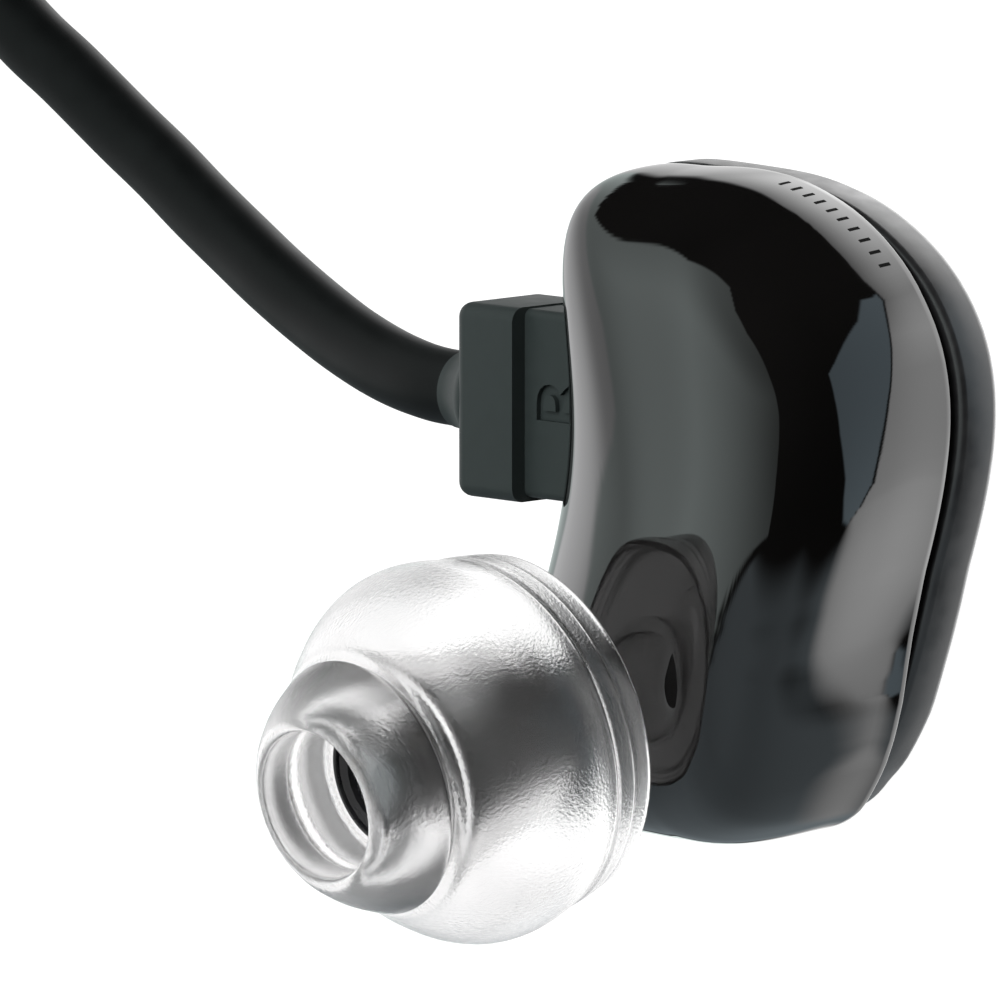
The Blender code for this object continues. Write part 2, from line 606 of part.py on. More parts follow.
def make_jack():
    """3.5 mm three-contact jack: strain relief, housing, then its contacts end to end."""
    axis = axis_empty("jack_axis", JACK_START, (1, 0, 0))
    turned("jack_strain_relief", [
        (0.0, 6.9 * MM), (2.0 * MM, 6.9 * MM), (2.0 * MM, 6.0 * MM), (1.6 * MM, 5.7 * MM),
        (1.6 * MM, 5.1 * MM), (1.8 * MM, 4.9 * MM), (1.75 * MM, 4.2 * MM), (1.45 * MM, 3.9 * MM),
        (1.45 * MM, 3.3 * MM), (1.62 * MM, 3.1 * MM), (1.55 * MM, 2.4 * MM),
        (1.3 * MM, 2.1 * MM), (1.3 * MM, 1.5 * MM), (1.4 * MM, 1.3 * MM), (1.2 * MM, 0.0),
        (0.0, 0.0),
    ], CABLE_BLACK, axis, SMALL_STEPS, closed=False)
    turned("jack_housing", [
        (0.0, 21.5 * MM), (2.6 * MM, 21.5 * MM), (2.9 * MM, 21.2 * MM), (3.0 * MM, 20.2 * MM),
        (3.0 * MM, 8.6 * MM), (2.85 * MM, 7.6 * MM), (2.5 * MM, 7.0 * MM), (0.0, 7.0 * MM),
    ], SATIN_BLACK, axis, SMALL_STEPS + 4, closed=False)
    start = 21.58 * MM
    turned("jack_sleeve", [
        (0.0, start + 6.0 * MM), (1.75 * MM, start + 6.0 * MM), (1.75 * MM, start + 0.7 * MM),
        (2.3 * MM, start + 0.7 * MM), (2.3 * MM, start), (0.0, start),
    ], GOLD, axis, SMALL_STEPS, closed=False)
    disc("jack_insulator_1", 1.68 * MM, start + 6.05 * MM, start + 6.5 * MM, CREAM_PLASTIC, axis,
         SMALL_STEPS)
    disc("jack_ring", 1.75 * MM, start + 6.55 * MM, start + 9.1 * MM, GOLD, axis, SMALL_STEPS)
    disc("jack_insulator_2", 1.68 * MM, start + 9.15 * MM, start + 9.6 * MM, CREAM_PLASTIC, axis,
         SMALL_STEPS)
    turned("jack_tip", [
        (0.0, start + 14.0 * MM), (0.5 * MM, start + 13.8 * MM), (1.75 * MM, start + 12.2 * MM),
        (1.72 * MM, start + 11.9 * MM), (1.2 * MM, start + 11.3 * MM),
        (1.2 * MM, start + 10.9 * MM), (1.75 * MM, start + 10.3 * MM),
        (1.75 * MM, start + 9.65 * MM), (0.0, start + 9.65 * MM),
    ], GOLD, axis, SMALL_STEPS, closed=False)


def build():
    nozzle_axis = axis_empty("nozzle_axis", NOZZLE_ROOT, NOZZLE_AXIS)
    vent_axis = make_inner_shell(nozzle_axis)
    make_faceplate()
    make_seam_gasket()
    make_vent_screen(vent_axis)
    make_nozzle(nozzle_axis)
    make_nozzle_filling(nozzle_axis)
    make_ear_tip(nozzle_axis)
    make_driver(nozzle_axis)
    make_socket()
    make_driver_wires()
    make_plug()
    make_cable()
    make_coil_tie()
    make_jack()


build()
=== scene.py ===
"""Looks of the in-ear monitor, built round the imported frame. Metres, +Z up."""

import json
import math

import bmesh
import bpy
from mathutils import Matrix, Vector

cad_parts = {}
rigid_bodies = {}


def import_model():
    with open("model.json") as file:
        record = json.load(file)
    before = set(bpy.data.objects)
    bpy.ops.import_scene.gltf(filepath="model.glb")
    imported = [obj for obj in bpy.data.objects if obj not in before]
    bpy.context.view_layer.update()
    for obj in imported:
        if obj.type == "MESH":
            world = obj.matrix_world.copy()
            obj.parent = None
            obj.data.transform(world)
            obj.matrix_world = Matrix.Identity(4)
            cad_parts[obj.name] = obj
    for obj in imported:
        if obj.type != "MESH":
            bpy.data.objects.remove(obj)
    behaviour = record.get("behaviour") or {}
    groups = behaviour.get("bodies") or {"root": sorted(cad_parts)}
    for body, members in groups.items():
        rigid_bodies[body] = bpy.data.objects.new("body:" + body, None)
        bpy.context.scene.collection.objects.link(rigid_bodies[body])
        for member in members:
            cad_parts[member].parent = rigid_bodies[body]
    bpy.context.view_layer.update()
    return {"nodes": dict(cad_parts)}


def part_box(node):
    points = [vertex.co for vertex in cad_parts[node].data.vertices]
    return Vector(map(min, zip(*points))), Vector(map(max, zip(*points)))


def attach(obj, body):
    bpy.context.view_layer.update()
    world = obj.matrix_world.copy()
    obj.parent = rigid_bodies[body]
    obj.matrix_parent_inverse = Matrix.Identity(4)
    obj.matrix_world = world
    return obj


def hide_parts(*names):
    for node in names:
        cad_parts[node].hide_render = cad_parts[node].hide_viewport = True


for old in list(bpy.data.objects):
    bpy.data.objects.remove(old, do_unlink=True)

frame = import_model()

MM = 0.001

# Shell and faceplate, as in the CAD source
HALF_LENGTH = 11.32 * MM
HALF_WIDTH = 7.05 * MM
DOME_HEIGHT = 9.5 * MM
OUTLINE_POWER = 3.8
CORNER_SOFTENING = 0.5
DOME_POWER = 3.0
SPINE_X = 0.72 * MM
SPINE_SKEW = 0.19
SPINE_BEND = 4.66 * MM
SPINE_BEND_CUBIC = 4.01 * MM
BEND_CENTRE = 1.63 * MM
LEAN_X = 0.22
LEAN_Y = -0.21
WALL = 0.9 * MM
SEAM_Z = 2.01 * MM
GROOVE = 0.45 * MM
PLATE_TOP = SEAM_Z - GROOVE / 2
PLATE_PROUD = 0.1 * MM

# What the flanks add to the plain bean, as (degrees from +X round by +Y, mm outwards): over the
# shell's whole height, over its lower part, at its foot, and over the faceplate
WHOLE_BULGE = [(-180, 0), (-130, 0), (-110, 0.02), (-90, 0.02), (-75, 0.08), (-60, 0.32),
               (-50, 0.5), (-40, 0.5), (-30, 0.3), (-20, 0.08), (-10, 0), (180, 0)]
LOW_BULGE = [(-180, 0), (-130, 0.02), (-75, 0.04), (-60, 0.1), (-50, 0.16), (-45, 0.2),
             (-40, 0.27), (-35, 0.34), (-30, 0.3), (-25, 0.15), (-20, 0.04), (-15, 0), (35, 0),
             (40, 0.03), (45, 0.12), (50, 0.19), (60, 0.19), (80, 0.1), (95, 0), (180, 0)]
LOW_BULGE_FROM = 1.5 * MM
LOW_BULGE_TO = 7.5 * MM
LIP_BULGE = [(-180, 0), (-20, 0), (-15, -0.05), (-10, -0.13), (0, -0.15), (10, -0.18),
             (25, -0.16), (35, -0.1), (40, 0), (180, 0)]
LIP_BULGE_TO = 3.5 * MM
PLATE_GROWTH = [(-180, 0), (-110, 0), (-75, -0.1), (-60, -0.22), (-50, -0.22), (-42, 0),
                (-33, 0.2), (-20, 0.08), (-10, -0.08), (30, -0.06), (40, -0.1), (50, -0.2),
                (60, -0.28), (75, -0.22), (90, -0.16), (110, -0.1), (150, 0), (180, 0)]
# Faceplate: how far its top is raised above the CAD's, how near the outline its flank moves by the
# whole of that table and over what distance this fades, its edges, inner face and tongue
PLATE_RISE = 0.12 * MM
PLATE_FULL_TO = 0.45 * MM
PLATE_FADE = 0.6 * MM
PLATE_EDGE = 0.38 * MM
PLATE_TOP_EDGE = 0.3 * MM
PLATE_INSIDE = 0.9 * MM
TONGUE_TOP = 3.1 * MM
TONGUE_OUTER = -1.32 * MM
TONGUE_INNER = -1.9 * MM

# Marks on the shell's flank: their foot and the line along which their pitch is measured are
# heights above the seam
TICK_COUNT = 10
TICK_START = math.radians(41)
TICK_STEP = math.radians(0.25)
TICK_LINE = 1.2 * MM
TICK_FOOT = 0.95 * MM
TICK_PITCH = 0.6 * MM
TICK_WIDTH = 0.13 * MM
TICK_LENGTH = 0.55 * MM
TICK_PROUD = 0.012 * MM
TICK_SUNK = 4 * TICK_PROUD

VENT_PLACE = Vector((-6.0, -2.6, 5.2)) * MM
SLOT_HALF_HEIGHT = 2.4 * MM
SLOT_HALF_THICKNESS = 1.15 * MM

NOZZLE_ROOT = Vector((-0.4, -6.3, 11.8)) * MM
NOZZLE_AXIS = Vector((-0.065, -0.192, 0.979)).normalized()
NOZZLE_LENGTH = 9.3 * MM
TIP_FRONT = 12.2 * MM
# Plain numbers in mm, like every profile that is turned about an axis
NECK = 1.66
NECK_GAP = 0.06
SEAT_RADIUS = 1.87
SEAT_DEPTH = 0.65
BOSS_TOP = -1.0
BOSS_END = -2.2
BOSS_WALL = 0.75
VENT_RADIUS = 0.4

PLUG_Y = 2.93 * MM
PLUG_Z = 5.2 * MM
PLUG_LOW_Y = PLUG_Y - 3.42 * MM
PLUG_HIGH_Y = PLUG_Y + 3.42 * MM
PLUG_LOW_Z = PLUG_Z - 2.1 * MM
PLUG_HIGH_Z = PLUG_Z + 2.1 * MM
PLUG_OUTER_X = -11.08 * MM
PLUG_STEP_X = -8.17 * MM
PLUG_SEAT_X = -6.75 * MM
PLUG_RECESS = 0.61 * MM
LETTER_X = -6.35 * MM
LETTER_Y = PLUG_Y + 0.25 * MM
NOSE_END_X = -4.6 * MM
NOSE_HALF_HEIGHT = 2.25 * MM
NOSE_HALF_THICKNESS = 1.0 * MM
FIT_GAP = 0.08 * MM

# Cable routes, along the CAD's
HOOK_RADIUS = 1.33 * MM
LEAD_RADIUS = 0.75 * MM
COIL_CENTRE = Vector((-28.0, 34.5, 0.0)) * MM
COIL_COLUMNS = 5
COIL_ROWS = 4
COIL_OUTER_TURN = 11.75 * MM
COIL_LOW_TURN = 1.2 * MM
COIL_PITCH = 1.5 * MM
COIL_LEFT_OUT = 0.75
JACK_START = Vector((-5.0, 26.0, 3.05)) * MM
HOOK_ROUTE = [
    (-12.1, 2.93, 5.2), (-14.27, 3.0, 5.05), (-16.7, 3.3, 4.6), (-19.3, 3.86, 4.0),
    (-21.8, 4.61, 3.4), (-24.4, 5.58, 2.85), (-26.9, 6.63, 2.3), (-29.3, 7.77, 1.9),
    (-31.5, 8.97, 1.62), (-33.7, 10.15, 1.45), (-36.6, 11.92, 1.4), (-39.1, 13.4, 1.4),
    (-43.0, 16.3, 1.4), (-46.3, 20.2, 1.4), (-48.3, 25.2, 1.4), (-48.9, 30.6, 1.4),
    (-48.4, 35.2, 1.4), (-46.9, 39.0, 1.4),
]
LEAD_ROUTE = [
    (-44.88, 44.12, 1.36), (-44.3, 45.35, 1.15), (-43.2, 46.5, 0.9), (-41.3, 47.4, 0.78),
    (-38.8, 47.6, 0.76), (-36.0, 47.1, 0.76), (-33.4, 46.55, 0.85), (-30.9, 46.25, 1.0),
]
TAIL_ROUTE = [
    (-14.86, 30.98, 5.1), (-13.4, 28.4, 4.3), (-11.0, 26.7, 3.5), (-8.0, 26.1, 3.1),
    (-5.3, 26.0, 3.05),
]


# -------- helpers

def new_object(name, data):
    """Object of this data, in the scene."""
    made = bpy.data.objects.new(name, data)
    bpy.context.scene.collection.objects.link(made)
    return made


def new_mesh(name, shape):
    """Mesh of a finished bmesh, which is freed."""
    mesh = bpy.data.meshes.new(name)
    shape.to_mesh(mesh)
    shape.free()
    return mesh


def bridge(shape, low, high):
    """Faces between two rings of points, where a ring may be a single point."""
    count = max(len(low), len(high))
    for index in range(count if count > 1 else 0):
        after = (index + 1) % count
        if len(low) == 1:
            shape.faces.new((low[0], high[index], high[after]))
        elif len(high) == 1:
            shape.faces.new((low[index], high[0], low[after]))
        else:
            shape.faces.new((low[index], low[after], high[after], high[index]))


def lay_skin(shape, rings, closed=False):
    """Faces between neighbouring rings; a closed skin joins the last ring to the first."""
    for low, high in zip(rings, rings[1:] + rings[:1] if closed else rings[1:]):
        bridge(shape, low, high)


def shade(piece, angle):
    """Smooth shading, with edges sharper than the angle in degrees kept."""
    piece.data.shade_smooth()
    piece.data.set_sharp_from_angle(angle=math.radians(angle))


def add_piece(name, data, material, body, angle=None):
    """Object of a mesh or a curve, on its body; a mesh is also shaded when given an angle."""
    piece = new_object(name, data)
    data.materials.clear()
    data.materials.append(material)
    if angle:
        shade(piece, angle)
    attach(piece, body)
    return piece


def smooth_route(route, steps=12):
    """Points on the Catmull-Rom curve through the route, in metres."""
    knots = [Vector(point) * MM for point in route]
    knots = [2 * knots[0] - knots[1], *knots, 2 * knots[-1] - knots[-2]]
    fine = []
    for before, start, end, after in zip(knots, knots[1:], knots[2:], knots[3:]):
        for step in range(steps):
            t = step / steps
            fine.append(0.5 * (2 * start + (end - before) * t
                               + (2 * before - 5 * start + 4 * end - after) * t ** 2
                               + (3 * start - before - 3 * end + after) * t ** 3))
    fine.append(knots[-2])
    return fine


def tube(name, points, radius, material, body, sides):
    """Round curve through the points, with closed ends."""
    curve = bpy.data.curves.new(name, "CURVE")
    curve.dimensions = "3D"
    curve.bevel_depth = radius
    curve.bevel_resolution = sides
    curve.use_fill_caps = True
    spline = curve.splines.new("POLY")
    spline.points.add(len(points) - 1)
    for point, place in zip(spline.points, points):
        point.co = (*place, 1.0)
    spline.use_smooth = True
    return add_piece(name, curve, material, body)


def ease(low, high, value):
    """0 up to low, 1 from high on, and a smooth step between them."""
    share = min(1.0, max(0.0, (value - low) / (high - low)))
    return share * share * (3 - 2 * share)


def read_table(table, place):
    """Value of a table of (place, value) pairs, with straight lines between them."""
    if place <= table[0][0]:
        return table[0][1]
    for (start, first), (end, last) in zip(table, table[1:]):
        if place <= end:
            return first + (last - first) * (place - start) / (end - start)
    return table[-1][1]


def power_circle(angle, power):
    """Point of a squared-off unit circle: power 2 is round, more is squarer."""
    across = math.cos(angle)
    along = math.sin(angle)
    reach = (abs(across) ** power + abs(along) ** power) ** (-1.0 / power)
    return reach * across, reach * along


def bean_point(angle, radius=1.0, height=0.0, grow=0.0):
    """Point of the bean: radius 1 on its outline and 0 on its spine, height above the seam."""
    corner = max(0.0, math.cos(angle)) * max(0.0, -math.sin(angle))
    across, along = power_circle(angle, OUTLINE_POWER - 2 * CORNER_SOFTENING * corner)
    y = (HALF_LENGTH + grow) * radius * along
    bend = (y - BEND_CENTRE) / HALF_LENGTH
    spine = SPINE_X + SPINE_SKEW * y - SPINE_BEND * bend ** 2 - SPINE_BEND_CUBIC * bend ** 3
    x = (HALF_WIDTH + grow) * radius * across + spine
    lean = height ** 2 / DOME_HEIGHT if height > 0 else 0.0
    return Vector((x + LEAN_X * lean, y + LEAN_Y * lean, SEAM_Z + height))


def turned_degrees(angle):
    """Angle in degrees, from -180 to 180."""
    return (math.degrees(angle) + 180) % 360 - 180


def flank_bulge(angle, height):
    """How far the shell's flank stands out from the plain outline at this height."""
    turn = turned_degrees(angle)
    bulge = read_table(WHOLE_BULGE, turn)
    bulge += read_table(LOW_BULGE, turn) * (1 - ease(LOW_BULGE_FROM, LOW_BULGE_TO, height))
    bulge += read_table(LIP_BULGE, turn) * max(0.0, 1 - height / LIP_BULGE_TO) ** 2
    return bulge * MM


def flank_point(angle, radius, height, grow=0.0):
    """Point of the shell: the bean's, moved out with the flank."""
    return bean_point(angle, radius, height, grow + flank_bulge(angle, height))


def bean_rings(shape, rows, columns, place):
    """Rings of points for rows of (radius, grow, height above the seam); radius 0 is one point."""
    rings = []
    for radius, grow, height in rows:
        if radius == 0.0:
            rings.append([shape.verts.new(bean_point(0.0, 0.0, height))])
        else:
            rings.append([
                shape.verts.new(place(2 * math.pi * index / columns, radius, height, grow))
                for index in range(columns)])
    return rings


def bean_loft(name, rows, columns, closed=False):
    """Skin through rows of the bean.

    The first and the last row have radius 0 and collapse to a point each, unless the last row
    joins the first.
    """
    shape = bmesh.new()
    lay_skin(shape, bean_rings(shape, rows, columns, bean_point), closed)
    bmesh.ops.recalc_face_normals(shape, faces=shape.faces)
    return new_mesh(name, shape)


def axis_matrix(origin, direction):
    """Place at the origin, with its +Z along the direction."""
    turn = Vector((0, 0, 1)).rotation_difference(Vector(direction))
    return Matrix.Translation(origin) @ turn.to_matrix().to_4x4()


def softened(profile):
    """Closed profile with each corner cut off, so that it turns smoothly."""
    cut = []
    for (r0, h0), (r1, h1) in zip(profile, profile[1:] + profile[:1]):
        cut.append((0.75 * r0 + 0.25 * r1, 0.75 * h0 + 0.25 * h1))
        cut.append((0.25 * r0 + 0.75 * r1, 0.25 * h0 + 0.75 * h1))
    return cut


def turned_mesh(name, profile, place, steps=96, closed=False):
    """Skin of revolution through (radius, height) points in mm, about the place's +Z."""
    shape = bmesh.new()
    rings = []
    for radius, height in profile:
        if radius == 0.0:
            rings.append([shape.verts.new((0, 0, height * MM))])
            continue
        rings.append([shape.verts.new((radius * MM * math.cos(2 * math.pi * index / steps),
                                       radius * MM * math.sin(2 * math.pi * index / steps),
                                       height * MM)) for index in range(steps)])
    lay_skin(shape, rings, closed)
    bmesh.ops.recalc_face_normals(shape, faces=shape.faces)
    bmesh.ops.transform(shape, matrix=place, verts=shape.verts)
    return new_mesh(name, shape)


def turned(name, profile, place, material, body, steps=96, closed=False, angle=40):
    """Piece that is a skin of revolution."""
    mesh = turned_mesh(name, profile, place, steps, closed)
    return add_piece(name, mesh, material, body, angle)


def box_mesh(name, low, high, width=0.0, segments=6):
    """Box between two corners, with its edges rounded over this width."""
    shape = bmesh.new()
    bmesh.ops.create_cube(shape, size=1.0)
    size = [high[axis] - low[axis] for axis in range(3)]
    middle = Vector([(low[axis] + high[axis]) / 2 for axis in range(3)])
    bmesh.ops.scale(shape, vec=size, verts=shape.verts)
    bmesh.ops.translate(shape, vec=middle, verts=shape.verts)
    if width:
        bmesh.ops.bevel(shape, geom=shape.edges[:] + shape.verts[:], offset=width,
                        segments=segments, affect="EDGES", profile=0.5)
    return new_mesh(name, shape)


def combined(name, mesh, operands):
    """Mesh after exact Booleans with (mesh, operation) operands."""
    base = new_object(name, mesh)
    helpers = []
    for index, (other, operation) in enumerate(operands):
        helper = new_object(f"{name}_operand_{index}", other)
        modifier = base.modifiers.new(f"step_{index}", "BOOLEAN")
        modifier.operation = operation
        modifier.object = helper
        helpers.append(helper)
    bpy.context.view_layer.update()
    graph = bpy.context.evaluated_depsgraph_get()
    result = bpy.data.meshes.new_from_object(base.evaluated_get(graph))
    result.name = name
    for piece in [base, *helpers]:
        bpy.data.objects.remove(piece, do_unlink=True)
    return result


# -------- camera

VIEW_TURN = math.radians(45)
VIEW_RISE = math.radians(7.5)
VIEW_DISTANCE = 0.6
FRAME_SIDE = 34.5 * MM
FRAME_RIGHT = -9.4875 * MM
FRAME_UP = -0.52 * MM
FRAME_DEPTH = 7 * MM
FRAME_ANCHOR = Vector((-2.64 * MM, 0, 0))
SENSOR_WIDTH = 36


def make_camera():
    """Long lens, turned from the flat face's normal and raised towards +Y.

    FRAME_SIDE is the width of what it sees, and the frame's middle lies FRAME_RIGHT and FRAME_UP
    from the anchor.
    """
    back = Vector((math.sin(VIEW_TURN) * math.cos(VIEW_RISE), math.sin(VIEW_RISE),
                   math.cos(VIEW_TURN) * math.cos(VIEW_RISE)))
    right = Vector((0, 1, 0)).cross(back).normalized()
    up = back.cross(right)
    middle = (right * (FRAME_RIGHT + FRAME_ANCHOR.dot(right))
              + up * (FRAME_UP + FRAME_ANCHOR.dot(up)) + back * (FRAME_DEPTH * back.z))
    data = bpy.data.cameras.new("camera")
    data.sensor_width = SENSOR_WIDTH
    data.lens = SENSOR_WIDTH * VIEW_DISTANCE / FRAME_SIDE
    data.clip_start = 0.01
    camera = new_object("camera", data)
    facing = Matrix((right, up, back)).transposed().to_4x4()
    camera.matrix_world = Matrix.Translation(middle + back * VIEW_DISTANCE) @ facing
    bpy.context.scene.camera = camera


make_camera()


# -------- materials

def new_material(name, colour, roughness, metallic=0.0, **inputs):
    """Principled material; the other inputs are given with _ for each space in their names."""
    material = bpy.data.materials.new(name)
    material.use_nodes = True
    shader = material.node_tree.nodes["Principled BSDF"]
    shader.inputs["Base Color"].default_value = (*colour, 1.0)
    shader.inputs["Roughness"].default_value = roughness
    shader.inputs["Metallic"].default_value = metallic
    for key, value in inputs.items():
        shader.inputs[key.replace("_", " ")].default_value = value
    return material


def tree_of(material):
    """Nodes and links of a material."""
    return material.node_tree.nodes, material.node_tree.links


def noise_source(material, scale, detail):
    """Noise in the object's own metres."""
    nodes, links = tree_of(material)
    place = nodes.new("ShaderNodeTexCoord")
    noise = nodes.new("ShaderNodeTexNoise")
    noise.inputs["Scale"].default_value = scale
    noise.inputs["Detail"].default_value = detail
    links.new(place.outputs["Object"], noise.inputs["Vector"])
    return noise.outputs["Fac"]


def uneven(material, source, low, high):
    """Noise from 0.3 to 0.7 mapped to a range of roughness."""
    nodes, links = tree_of(material)
    ranged = nodes.new("ShaderNodeMapRange")
    for key, value in (("From Min", 0.3), ("From Max", 0.7), ("To Min", low), ("To Max", high)):
        ranged.inputs[key].default_value = value
    links.new(source, ranged.inputs["Value"])
    links.new(ranged.outputs["Result"], nodes["Principled BSDF"].inputs["Roughness"])


def tint(material, source, first, second, start=0.35, end=0.65):
    """Source mapped between two colours as the base colour."""
    nodes, links = tree_of(material)
    ramp = nodes.new("ShaderNodeValToRGB")
    for stop, place, colour in zip(ramp.color_ramp.elements, (start, end), (first, second)):
        stop.position = place
        stop.color = (*colour, 1.0)
    links.new(source, ramp.inputs["Fac"])
    links.new(ramp.outputs["Color"], nodes["Principled BSDF"].inputs["Base Color"])


def bump(material, source, strength, distance):
    """Source as fine relief, in metres."""
    nodes, links = tree_of(material)
    node = nodes.new("ShaderNodeBump")
    node.inputs["Strength"].default_value = strength
    node.inputs["Distance"].default_value = distance
    links.new(source, node.inputs["Height"])
    links.new(node.outputs["Normal"], nodes["Principled BSDF"].inputs["Normal"])


def grained(name, colour, second, roughness, scale, strength, depth, metallic=0.0, **inputs):
    """Moulded or plated surface: mottled colour, uneven roughness and a grain so many mm deep."""
    middle = sum(roughness) / 2
    material = new_material(name, colour, middle, metallic, **inputs)
    cloud = noise_source(material, scale / 6, 2.0)
    tint(material, cloud, colour, second)
    uneven(material, cloud, *roughness)
    bump(material, noise_source(material, scale, 4.0), strength, depth * MM)
    return material


def woven(name, colour, second, count):
    """Fine metal weave: two crossed sets of bands as bump and shade."""
    material = new_material(name, colour, 0.35, 1.0)
    nodes, links = tree_of(material)
    place = nodes.new("ShaderNodeTexCoord")
    join = nodes.new("ShaderNodeMath")
    join.operation = "MULTIPLY"
    for direction, target in zip("XY", join.inputs):
        wave = nodes.new("ShaderNodeTexWave")
        wave.bands_direction = direction
        wave.inputs["Scale"].default_value = count
        links.new(place.outputs["Object"], wave.inputs["Vector"])
        links.new(wave.outputs["Fac"], target)
    tint(material, join.outputs["Value"], second, colour, 0.0, 1.0)
    bump(material, join.outputs["Value"], 0.6, 0.02 * MM)
    return material


SHELL = grained("shell_gloss", (0.0018, 0.0017, 0.0016), (0.0026, 0.0024, 0.0023),
                (0.02, 0.035), 900, 0.01, 0.002)
PLATE = grained("plate_satin", (0.008, 0.008, 0.0085), (0.012, 0.012, 0.0125),
                (0.28, 0.36), 9000, 0.1, 0.005)
GASKET = grained("gasket_rubber", (0.002, 0.002, 0.002), (0.004, 0.004, 0.004),
                 (0.7, 0.8), 6000, 0.3, 0.01, Specular_IOR_Level=0.1)
NOZZLE = grained("nozzle_satin", (0.004, 0.004, 0.0045), (0.006, 0.006, 0.0065),
                 (0.25, 0.36), 8000, 0.12, 0.005, Specular_IOR_Level=0.2)
PLUG = grained("plug_plastic", (0.0135, 0.0172, 0.0168), (0.015, 0.019, 0.0186),
               (0.5, 0.56), 9000, 0.2, 0.006, Specular_IOR_Level=0.12)
CABLE = grained("cable_rubber", (0.0022, 0.0026, 0.0026), (0.0028, 0.0033, 0.0033),
                (0.44, 0.48), 5000, 0.08, 0.005, Specular_IOR_Level=0.05)
SLEEVE = grained("sleeve_satin", (0.008, 0.008, 0.0085), (0.011, 0.011, 0.0115),
                 (0.32, 0.42), 8000, 0.15, 0.006, Specular_IOR_Level=0.3)
TIE = grained("tie_rubber", (0.008, 0.008, 0.008), (0.014, 0.014, 0.014),
              (0.6, 0.75), 4000, 0.35, 0.015, Specular_IOR_Level=0.25)
INK = grained("mark_ink", (0.003, 0.003, 0.003), (0.005, 0.005, 0.005),
              (0.8, 0.9), 9000, 0.2, 0.004, Specular_IOR_Level=0.05)
GOLD = grained("contact_gold", (0.83, 0.6, 0.26), (0.88, 0.67, 0.33),
               (0.16, 0.28), 6000, 0.06, 0.004, 1.0)
COPPER = grained("coil_copper", (0.6, 0.27, 0.13), (0.72, 0.38, 0.2),
                 (0.25, 0.4), 15000, 0.4, 0.01, 1.0)
RED_WIRE = grained("wire_red", (0.38, 0.02, 0.02), (0.5, 0.035, 0.03),
                   (0.25, 0.35), 9000, 0.1, 0.005)
MAGNET = grained("magnet_plating", (0.4, 0.4, 0.42), (0.5, 0.5, 0.51),
                 (0.2, 0.4), 5000, 0.15, 0.006, 1.0)
IRON = grained("soft_iron", (0.5, 0.5, 0.51), (0.6, 0.6, 0.62),
               (0.25, 0.4), 9000, 0.15, 0.005, 1.0)
FILM = grained("driver_film", (0.5, 0.47, 0.38), (0.6, 0.57, 0.47),
               (0.18, 0.3), 3000, 0.1, 0.01)
FRAME = grained("driver_frame", (0.015, 0.015, 0.016), (0.022, 0.022, 0.023),
                (0.35, 0.5), 9000, 0.2, 0.008)
FOAM = grained("damper_foam", (0.03, 0.03, 0.03), (0.09, 0.09, 0.09),
               (0.85, 1.0), 4000, 1.0, 0.08)
FABRIC = grained("damper_fabric", (0.6, 0.6, 0.57), (0.75, 0.75, 0.72),
                 (0.8, 0.95), 9000, 0.8, 0.02)
BOARD = grained("board", (0.01, 0.09, 0.035), (0.015, 0.12, 0.05),
                (0.3, 0.45), 3000, 0.2, 0.01)
SOCKET = grained("socket_plastic", (0.015, 0.015, 0.016), (0.025, 0.025, 0.026),
                 (0.4, 0.55), 9000, 0.25, 0.008)
INSULATOR = grained("insulator", (0.5, 0.46, 0.38), (0.58, 0.54, 0.45),
                    (0.35, 0.5), 9000, 0.15, 0.006)
STEEL_MESH = woven("steel_mesh", (0.55, 0.55, 0.57), (0.05, 0.05, 0.05), 2500)


def make_silicone():
    """Clear, slightly milky silicone with a fine orange-peel skin."""
    material = new_material("clear_silicone", (0.93, 0.925, 0.925), 0.12,
                            Transmission_Weight=1.0, IOR=1.41,
                            Specular_Tint=(0.45, 0.45, 0.45, 1))
    uneven(material, noise_source(material, 700, 2.0), 0.17, 0.23)
    bump(material, noise_source(material, 9000, 2.0), 0.85, 0.015 * MM)
    return material


SILICONE = make_silicone()


# -------- cords

def coil_points():
    """Neat winding, clockwise from above: inwards, up a row, outwards, up, and so on.

    The last fifth of each turn moves over to the next one, and the last turn ends early.
    """
    places = []
    for row in range(COIL_ROWS):
        columns = range(COIL_COLUMNS) if row % 2 == 0 else reversed(range(COIL_COLUMNS))
        for column in columns:
            places.append((COIL_OUTER_TURN - column * COIL_PITCH, COIL_LOW_TURN + row * COIL_PITCH))
    turns = len(places) - COIL_LEFT_OUT
    per_turn = 48
    points = []
    for step in range(1, int(turns * per_turn) + 1):
        done = step / per_turn
        index = int(done)
        radius, height = places[min(index, len(places) - 1)]
        if index + 1 < len(places):
            blend = ease(0.8, 1.0, done - index)
            radius += (places[index + 1][0] - radius) * blend
            height += (places[index + 1][1] - height) * blend
        angle = math.pi / 2 - 2 * math.pi * done
        points.append(COIL_CENTRE + Vector((radius * math.cos(angle), radius * math.sin(angle),
                                            height)))
    return points


def make_cords():
    """Hook and thin lead, each one tube along its whole route."""
    hook_line = smooth_route(HOOK_ROUTE)
    hook = tube("ear_hook_cord", hook_line, HOOK_RADIUS, CABLE, "cable", 12)
    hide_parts("ear_hook")
    turns = coil_points()
    # A few of the coil's points are left out at either end, to let the curves run in smoothly
    first = smooth_route([*LEAD_ROUTE, tuple(turns[2] / MM)])
    last = smooth_route([tuple(turns[-3] / MM), *TAIL_ROUTE])
    lead_line = first[:-1] + turns[2:-3] + last
    lead = tube("lead_cord", lead_line, LEAD_RADIUS, CABLE, "cable", 4)
    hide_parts("lead", "lead_coil", "lead_tail")
    return hook, hook_line, lead, lead_line


HOOK, HOOK_LINE, LEAD, LEAD_LINE = make_cords()


# -------- casing

NOZZLE_PLACE = axis_matrix(NOZZLE_ROOT, NOZZLE_AXIS)
